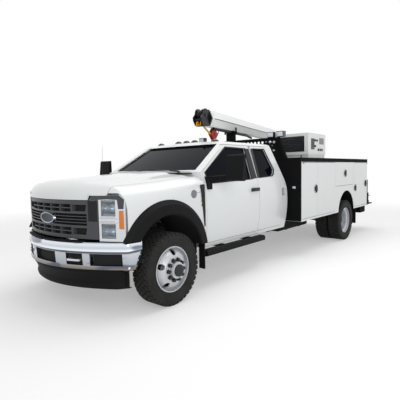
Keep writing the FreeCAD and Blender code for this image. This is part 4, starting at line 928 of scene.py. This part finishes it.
def board_tread(bm):
    """The ribs along one board, from its back."""
    for number in range(44):
        x = -1.985 + 0.030 * number
        block(bm, (x, 0.915, 0.484), (x + 0.012, 0.988, 0.4945), 0.002)


mirrored_piece(board_tread, "board_tread", seal_rubber)


# Lug nuts and hub caps: dark steel parts bolted to each wheel's disc; behind it, a flat painted shade ring.
# Ten nuts stand on each lug circle, a cap closes the hub, and the matt black ring is painted shade in the
# hand holes.

LUGS, LUG_CIRCLE = 10, 0.1125
NUT = ((0.001, 0.026), (0.004, 0.025), (0.004, 0.0195), (0.031, 0.0195), (0.034, 0.014), (0.036, 0.0))
HUB_CAP = ((-0.012, 0.0665), (0.001, 0.0665), (0.004, 0.060), (0.005, 0.030), (0.005, 0.0))
HAND_HOLE_SHADE_RING = ((0.0, 0.137), (0.006, 0.137), (0.006, 0.2045), (0.0, 0.2045), (0.0, 0.137))
nut_steel = material("dark plated lug nut", "#232325", 0.45, 0.3, (5.0, 0.05))


def hub_fittings(bm, x, face, reach):
    """Nuts seated on a disc's face, and a cap at the hub's reach."""
    for number in range(LUGS):
        angle = math.tau * number / LUGS
        seat = (x + LUG_CIRCLE * math.cos(angle), face, tyre_radius + LUG_CIRCLE * math.sin(angle))
        turned(bm, NUT, seat, (0, 1, 0), 6)
    turned(bm, HUB_CAP, (x, reach, tyre_radius), (0, 1, 0), 28)


wheels = (("front", "wheel_front_SIDE", 0.0, 1.080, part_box("wheel_front_left")[1][1], 0.980),
          ("rear", "wheels_rear_SIDE", REAR_AXLE, 0.952, 1.082, 0.840))
for name, body, x, face, reach, behind in wheels:
    mirrored_piece(lambda bm: hub_fittings(bm, x, face, reach), name + "_hub_fittings", nut_steel,
                   body)
# A flat matt black ring behind each disc is painted shade in the hand holes.
for name, body, x, face, reach, behind in wheels:
    mirrored_piece(lambda bm: turned(bm, HAND_HOLE_SHADE_RING, (x, behind, tyre_radius), (0, 1, 0), 40), name + "_hand_hole_shade",
                   matt_black_and_painted_shade, body)


# Locker latches: a black paddle in a pressed oval pan on each locker door, with a lock barrel below.
# The pans are bolted over the CAD's latch blocks.

PACK_FACE = 1.190
PAN_HALF_WIDTH, PAN_HALF_HEIGHT, PAN_CORNERS = 0.050, 0.072, 28
PAN_BACK, PAN_DEPTH = PACK_FACE + 0.0002, 0.0152
PADDLE_BACK, PADDLE_FACE = PACK_FACE + 0.0150, PACK_FACE + 0.0215
LOCK_BARREL = ((0.0, 0.011), (0.007, 0.011), (0.008, 0.008), (0.008, 0.0))
LATCHES = (("front", "front", -3.385, 1.120), ("shelf", "shelf", -4.790, 1.360),
           ("rear", "rear", -5.385, 1.040), ("tail", "rear", -6.060, 1.110))


def latch(bm, x, z):
    """A pan, its paddle and its lock barrel."""
    angles = [math.tau * corner / PAN_CORNERS for corner in range(PAN_CORNERS)]
    oval = [(x + PAN_HALF_WIDTH * math.cos(angle), z + PAN_HALF_HEIGHT * math.sin(angle)) for angle in angles]
    slab(bm, [(along, PAN_BACK, height) for along, height in oval], (0, PAN_DEPTH, 0))
    block(bm, (x - 0.024, PADDLE_BACK, z - 0.020), (x + 0.024, PADDLE_FACE, z + 0.044), 0.004, 2)
    turned(bm, LOCK_BARREL, (x, PACK_FACE + 0.0140, z - 0.040), (0, 1, 0), 14)


for name, door, x, z in LATCHES:
    mirrored_piece(lambda bm: latch(bm, x, z), "locker_latch_" + name, gloss_black,
                   "body_door_" + door + "_SIDE")


# Wheelhouse liners: half barrels over the wheels, moulded in front and of sprayed steel behind.
# They are clipped or welded inside the wings and the side packs.

def wheelhouse(bm, x, z, radius, low, high):
    """Half a barrel over a wheel, from low to high across the truck."""
    verts = [bm.verts.new((x + out, y, z)) for y, out in
             ((low, radius), (high, radius), (high, radius + 0.007), (low, radius + 0.007))]
    bmesh.ops.spin(bm, geom=[bm.faces.new(verts)], cent=(x, 0, z), axis=(0, -1, 0), angle=math.pi, steps=24,
                   use_merge=False)


mirrored_piece(lambda bm: wheelhouse(bm, 0.0, 0.482, 0.526, 0.470, 0.930), "front_wheelhouse_liner", moulding,
               sharp=50)
mirrored_piece(lambda bm: wheelhouse(bm, REAR_AXLE, 0.577, 0.424, 0.698, 1.186), "wheelhouse_liner",
               bed_liner, sharp=50)


# Rail edges: the sprayed liner where it turns down over each top rail's outer side.
# It is a coat on the steel rail, with no fixing of its own.

mirrored_piece(lambda bm: block(bm, (-6.173, 1.1890, 1.579), (-2.832, 1.1935, 1.6505), 0.002), "rail_edge",
               bed_liner)


# Locker seals: black rubber strips in the gaps beside and below the locker doors, pushed on the frames.
# A small rubber pad sits at the upper front corner of each side.

def locker_seals(bm):
    """Two upright strips and a low one for each door, and the corner pad."""
    for front, back, low in ((-2.872, -3.472, 0.645), (-4.304, -5.238, 1.122), (-5.330, -6.127, 0.645)):
        block(bm, (back - 0.005, 1.150, low - 0.005), (back - 0.001, PACK_FACE - 0.003, 1.573))
        block(bm, (front + 0.001, 1.150, low - 0.005), (front + 0.005, PACK_FACE - 0.014, 1.573))
        block(bm, (back - 0.005, 1.150, low - 0.005), (front + 0.005, PACK_FACE - 0.003, low - 0.001))
    block(bm, (-2.925, PACK_FACE, 1.552), (-2.885, PACK_FACE + 0.006, 1.566), 0.002)


mirrored_piece(locker_seals, "locker_seals", seal_rubber)


# Lamps on the rack and tail: frosted lenses on the work lamps, red ones on the tail lamps and markers.
# The lenses are moulded acrylic clipped on the lamps; a second work lamp stands on the rack.

lamp_white = material("frosted white lens", "#CDD6DE", 0.2, grain=(6.0, 0.2), Coat_Weight=0.4)
red_lens = material("red acrylic lens", "#A31518", 0.15, grain=(5.0, 0.15), Coat_Weight=0.5)
bm = bmesh.new()
block(bm, (-2.838, 0.600, 2.0005), (-2.758, 0.724, 2.092), 0.010, 2)
finish(bm, "second_work_lamp", moulding)
bm = bmesh.new()
block(bm, (-2.760, 0.611, 2.012), (-2.752, 0.713, 2.082), 0.003, 2)
finish(bm, "second_work_lens", lamp_white)


def work_lens(bm):
    """The lens of a work lamp on the rack, and of the small lamp on the pack's front."""
    block(bm, (-2.752, 0.793, 2.012), (-2.744, 0.897, 2.083), 0.003, 2)
    block(bm, (-2.790, 1.060, 1.150), (-2.770, 1.110, 1.185), 0.006, 2)


def tail_lens(bm):
    """Two stacked tail lenses, and the marker on the pack's rear corner."""
    for low, high in ((0.970, 1.052), (1.060, 1.140)):
        block(bm, (-6.268, 1.088, low), (-6.259, 1.162, high), 0.004, 2)
    block(bm, (-6.170, 1.1895, 1.545), (-6.135, 1.1945, 1.575), 0.002)


mirrored_piece(work_lens, "work_lenses", lamp_white)
mirrored_piece(tail_lens, "tail_lenses", red_lens)


# Roof clearance lamps: five smoked plastic domes along the windscreen's header, for a wide truck.
# Each dome is turned, and clips over the CAD's own lamp base on the roof skin.

ROOF_CROWN, ROOF_FALL, ROOF_HALF = 1.885, 0.016, 0.725
DOME_LIFT = 0.012
DOME = ((0.0, 0.0), (0.0, 0.046), (0.012, 0.044), (0.024, 0.034), (0.031, 0.018), (0.033, 0.0))
bm = bmesh.new()
for y in (-0.550, -0.165, 0.0, 0.165, 0.550):
    skin = ROOF_CROWN - ROOF_FALL * (y / ROOF_HALF) ** 2
    turned(bm, DOME, (-1.402, y, skin + DOME_LIFT), (0, 0, 1), 24)
finish(bm, "roof_lamp_domes", smoked, sharp=50)


# Welding set: a steel case on its skid, with a black perforated front, louvres and a control panel.
# The case itself is the CAD's; the sheets, knobs and sockets are screwed on its faces.

WELD_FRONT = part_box("welder")[1][0] - axle_x
PANEL_FACE = 1.1095
KNOB = ((0.0, 0.020), (0.016, 0.018), (0.018, 0.014), (0.018, 0.0))
SOCKET = ((0.0, 0.024), (0.008, 0.024), (0.010, 0.018), (0.004, 0.012), (0.004, 0.0))
bm = bmesh.new()
block(bm, (WELD_FRONT - 0.012, 0.562, 1.762), (WELD_FRONT - 0.008, 1.038, 2.028), 0.001)
finish(bm, "welder_front_sheet", gloss_black)
bm = bmesh.new()
for row in range(9):
    for column in range(15):
        y = 0.585 + 0.0308 * column + (0.0154 if row % 2 else 0.0)
        if y < 1.025:
            turned(bm, ((0.0, 0.011), (0.004, 0.011), (0.004, 0.0085), (0.0015, 0.0085)),
                   (WELD_FRONT - 0.009, y, 1.782 + 0.0285 * row), (1, 0, 0), 6)
finish(bm, "welder_mesh_rims", badge_grey)
bm = bmesh.new()
for number in range(7):
    x = WELD_FRONT - 0.115 - 0.020 * number
    block(bm, (x - 0.010, 1.108, 1.800), (x, 1.114, 1.990), 0.002)
for x, z in ((-3.52, 1.960), (-3.60, 1.960), (-3.52, 1.860)):
    turned(bm, KNOB, (x, PANEL_FACE, z), (0, 1, 0), 16)
for x in (-3.66, -3.74, -3.82):
    turned(bm, SOCKET, (x, PANEL_FACE, 1.800), (0, 1, 0), 16)
for y in (0.62, 0.98):
    for z in (1.670, 1.692):
        bar(bm, (WELD_FRONT + 0.002, y, z), (WELD_FRONT - 0.726, y, z), 0.006, steps=8)
finish(bm, "welder_louvres", seal_rubber)
bm = bmesh.new()
block(bm, (-3.900, 1.1085, 1.900), (-3.700, 1.1125, 2.010), 0.002)
finish(bm, "welder_dial_plate", badge_grey)
bm = bmesh.new()
for y in (0.492, 1.108):
    block(bm, (WELD_FRONT - 0.022, y - 0.012, 1.712), (WELD_FRONT + 0.001, y + 0.0005, 2.078), 0.003)
for start, end, radius in (((0.760, 2.078), (0.760, 2.100), 0.014), ((0.840, 2.078), (0.840, 2.100), 0.014),
                           ((0.748, 2.100), (0.852, 2.100), 0.012)):
    bar(bm, (-3.615, *start), (-3.615, *end), radius, steps=12)
finish(bm, "welder_lifting_eye", crane_white)


# Crane: the boom's outer box carries a seam, a hose tube and clips; the sleeves and head slide out of it.
# All are of welded steel, drawn along the boom's own line from its turning centre, then swung to place.

CRANE_PLACE = (-5.850, -0.930)
BOOM_YAW = math.radians(13.8)
BOOM_MIDDLE = 2.295
BOOM_HIGH, BOOM_WIDE, BOOM_TOP = 0.125, 0.112, 0.062
TUBE_BEND, TUBE_RADIUS = (2.35, 0.030, 2.146), 0.022
HEAD_U = 4.170
CHEEK = ((0.010, -0.125), (0.010, 0.075), (0.060, 0.110), (0.130, 0.129), (0.190, 0.122), (0.235, 0.095),
         (0.260, 0.030), (0.325, -0.020), (0.315, -0.070), (0.250, -0.138), (0.120, -0.140))
SHEAVE = whole(((-0.040, 0.0), (-0.040, 0.088), (-0.026, 0.088), (-0.008, 0.070)))
SHEAVE_U, SHEAVE_Z = HEAD_U + 0.165, BOOM_MIDDLE + 0.030
PIN_U, PIN_Z = HEAD_U + 0.275, BOOM_MIDDLE - 0.055


def crane_piece(bm, name, made, body="main_boom", sharp=30.0):
    """Swing a piece drawn along the boom's own line to the crane's place, and finish it."""
    bmesh.ops.rotate(bm, verts=bm.verts, cent=(0, 0, 0), matrix=Matrix.Rotation(BOOM_YAW, 3, "Z"))
    bmesh.ops.translate(bm, verts=bm.verts, vec=(*CRANE_PLACE, 0))
    return finish(bm, name, made, body, sharp)


def pin(bm, u, z, half, radius):
    """A round pin across the boom's line, reaching half its length to each side."""
    bar(bm, (u, -half, z), (u, half, z), radius)


def hexagon(inset, share=1.0):
    """The boom's (y, z) section drawn in by inset, and shrunk to a share of that."""
    high, wide, top = BOOM_HIGH - inset, BOOM_WIDE - inset * 1.12, BOOM_TOP - inset * 0.62
    corners = ((top, high), (wide, 0), (top, -high), (-top, -high), (-wide, 0), (-top, high))
    return [(y * share, BOOM_MIDDLE + z * share) for y, z in corners]


bm = bmesh.new()
plate(bm, [hexagon(0.0085), hexagon(0.0085, 0.93)], 0.50, 4.125)
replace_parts(crane_piece(bm, "boom_sleeve", crane_white, "boom_extension_1"),
            "boom_extension_1")
bm = bmesh.new()
for low, high in ((0.1085, 0.1125), (-0.1125, -0.1085)):
    block(bm, (0.30, low, BOOM_MIDDLE - 0.010), (4.070, high, BOOM_MIDDLE + 0.001))
bar(bm, (3.96, 0.030, 2.146), TUBE_BEND, TUBE_RADIUS)
bar(bm, TUBE_BEND, (2.10, 0.030, 2.120), TUBE_RADIUS)
block(bm, (3.10, -0.075, 2.160), (3.22, 0.085, 2.176), 0.004)
crane_piece(bm, "boom_tube_and_seam", crane_black)
bm = bmesh.new()
for u in (1.95, 2.12):
    block(bm, (u, -0.020, 2.4190), (u + 0.10, -0.006, 2.4245), 0.001)
    block(bm, (u + 0.086, -0.020, 2.4190), (u + 0.10, 0.050, 2.4245), 0.001)
crane_piece(bm, "boom_wire_guides", crane_black)
bm = bmesh.new()
plate(bm, [hexagon(0.017), hexagon(0.017, 0.93)], 0.70, 4.175)
plate(bm, [hexagon(0.0)], HEAD_U, HEAD_U + 0.030)
for y in (0.056, -0.070):
    slab(bm, [(HEAD_U + u, y, BOOM_MIDDLE + z) for u, z in CHEEK], (0, 0.014, 0))
turned(bm, SHEAVE, (SHEAVE_U, 0, SHEAVE_Z), (0, 1, 0), 28)
pin(bm, SHEAVE_U, SHEAVE_Z, 0.080, 0.024)
pin(bm, PIN_U, PIN_Z, 0.074, 0.018)
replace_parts(crane_piece(bm, "boom_tip_and_head", crane_black, "boom_extension_2"),
            "boom_extension_2")


# Hook and block: a zinc plated shackle and hook hang from the head; a red block is strapped below the boom.
# The hook is a bent bar on the shackle's pin; a yellow strap and a blue tie hold the block.

BLOCK_U, BLOCK_Z, BLOCK_SQUASH = 3.910, 2.0637, 0.815
BLOCK_SHEETS = ((-0.030, -0.014, 0.130), (0.014, 0.030, 0.130), (-0.014, 0.014, 0.112))
SHEET = ((-1.0, 0.0), (-0.94, 0.08), (-0.08, 0.97), (0.08, 0.97), (0.94, 0.08), (1.0, 0.0), (0.94, -0.08),
         (0.08, -0.97), (-0.08, -0.97), (-0.94, -0.08))
HOOK_U, HOOK_Z, HOOK_THICK = PIN_U - 0.020, BOOM_MIDDLE - 0.130, 0.011
HOOK_BEND, HOOK_TURN = 0.038, math.radians(-235)
gilt = material("yellow zinc plated steel", "#C08A1E", 0.32, 0.8, (6.0, 0.05))
yellow_web = material("woven yellow strap", "#C9B24A", 0.85, grain=(2.0, 0.2))
blue_web = material("woven blue tie", "#2E5C86", 0.85, grain=(2.0, 0.2))
bm = bmesh.new()
for low, high, size in BLOCK_SHEETS:
    slab(bm, [(BLOCK_U + u * size, low, BLOCK_Z + z * size * BLOCK_SQUASH) for u, z in SHEET],
         (0, high - low, 0))
pin(bm, BLOCK_U, BLOCK_Z, 0.036, 0.022)
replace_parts(crane_piece(bm, "snatch_block", red_enamel), "hook_block")
bm = bmesh.new()
for y in (-0.030, 0.030):
    bar(bm, (HOOK_U, y, BOOM_MIDDLE - 0.060), (HOOK_U, y, HOOK_Z), 0.010)
pin(bm, HOOK_U, HOOK_Z, 0.044, 0.012)
angles = [math.tau * corner / 10 for corner in range(10)]
ring = [bm.verts.new((HOOK_U + HOOK_THICK * math.cos(angle), HOOK_THICK * math.sin(angle), HOOK_Z))
        for angle in angles]
bmesh.ops.spin(bm, geom=[bm.faces.new(ring)], cent=(HOOK_U + HOOK_BEND, 0, HOOK_Z), axis=(0, -1, 0),
               angle=HOOK_TURN, steps=14, use_merge=False)
crane_piece(bm, "hook", gilt, "boom_extension_2", 50)
bm = bmesh.new()
for y, z in ((-0.018, 2.066), (0.006, 2.058)):
    bar(bm, (BLOCK_U + 0.110, y, z), (HEAD_U + 0.10, y + 0.012, z + 0.092), 0.009, steps=8)
crane_piece(bm, "block_strap", yellow_web)
bm = bmesh.new()
bar(bm, (BLOCK_U - 0.115, 0.0, 2.070), (BLOCK_U - 0.200, 0.0, 2.090), 0.010, steps=8)
bar(bm, (BLOCK_U - 0.200, 0.0, 2.090), (BLOCK_U - 0.225, 0.0, 2.150), 0.007, steps=8)
crane_piece(bm, "block_tie", blue_web)


# Boom rest: two steel clamp cheeks under sprayed liner, which hold the folded boom from the sides.
# They are welded on the rack's saddle.

bm = bmesh.new()
for y in (-0.305, -0.062):
    block(bm, (-2.826, y - 0.012, 2.120), (-2.784, y, 2.235), 0.004)
finish(bm, "rest_cheeks", bed_liner)


# Fuel tank and exhaust: moulded and pressed parts that hang from the frame rails.
# The tank is a black moulding held by two steel straps; the silencer is rolled steel on the right.

SILENCER = whole(((-0.46, 0.0), (-0.46, 0.034), (-0.42, 0.040), (-0.40, 0.096)))
bm = bmesh.new()
block(bm, (-4.180, 0.446, 0.365), (-3.020, 0.672, 0.596), 0.040, 4)
for x in (-3.85, -3.35):
    block(bm, (x - 0.025, 0.441, 0.3600), (x + 0.025, 0.677, 0.6010), 0.042, 4)
block(bm, (-2.960, 0.446, 0.400), (-2.700, 0.640, 0.596), 0.030, 3)
finish(bm, "fuel_tank", moulding)
bm = bmesh.new()
turned(bm, SILENCER, (-3.300, -0.560, 0.490), (1, 0, 0), 24)
bar(bm, (-2.850, -0.560, 0.490), (-0.900, -0.330, 0.520), 0.034)
bar(bm, (-3.750, -0.560, 0.490), (-4.050, -0.560, 0.560), 0.034)
for x in (-3.62, -2.98):
    block(bm, (x - 0.015, -0.580, 0.560), (x + 0.015, -0.436, 0.610), 0.004)
finish(bm, "exhaust", bare_iron)


# Step tread and vise screw: rolled ribs on the rear bumper's step, under the sprayed liner, in rows.
# The vise's screw is a turned steel bar, with a sliding handle through its end.

bm = bmesh.new()
for row in range(6):
    for column in range(26):
        x = -6.475 + 0.050 * row
        y = -0.98 + 0.074 * column + (0.037 if row % 2 else 0.0)
        if y < 0.85:
            block(bm, (x, y, 0.6145), (x + 0.008, y + 0.034, 0.6185))
finish(bm, "step_tread", bed_liner)
bm = bmesh.new()
bar(bm, (-6.592, 1.080, 0.800), (-6.400, 1.080, 0.800), 0.014)
bar(bm, (-6.585, 1.020, 0.800), (-6.585, 1.140, 0.800), 0.007, steps=10)
finish(bm, "vise_screw", nut_steel)
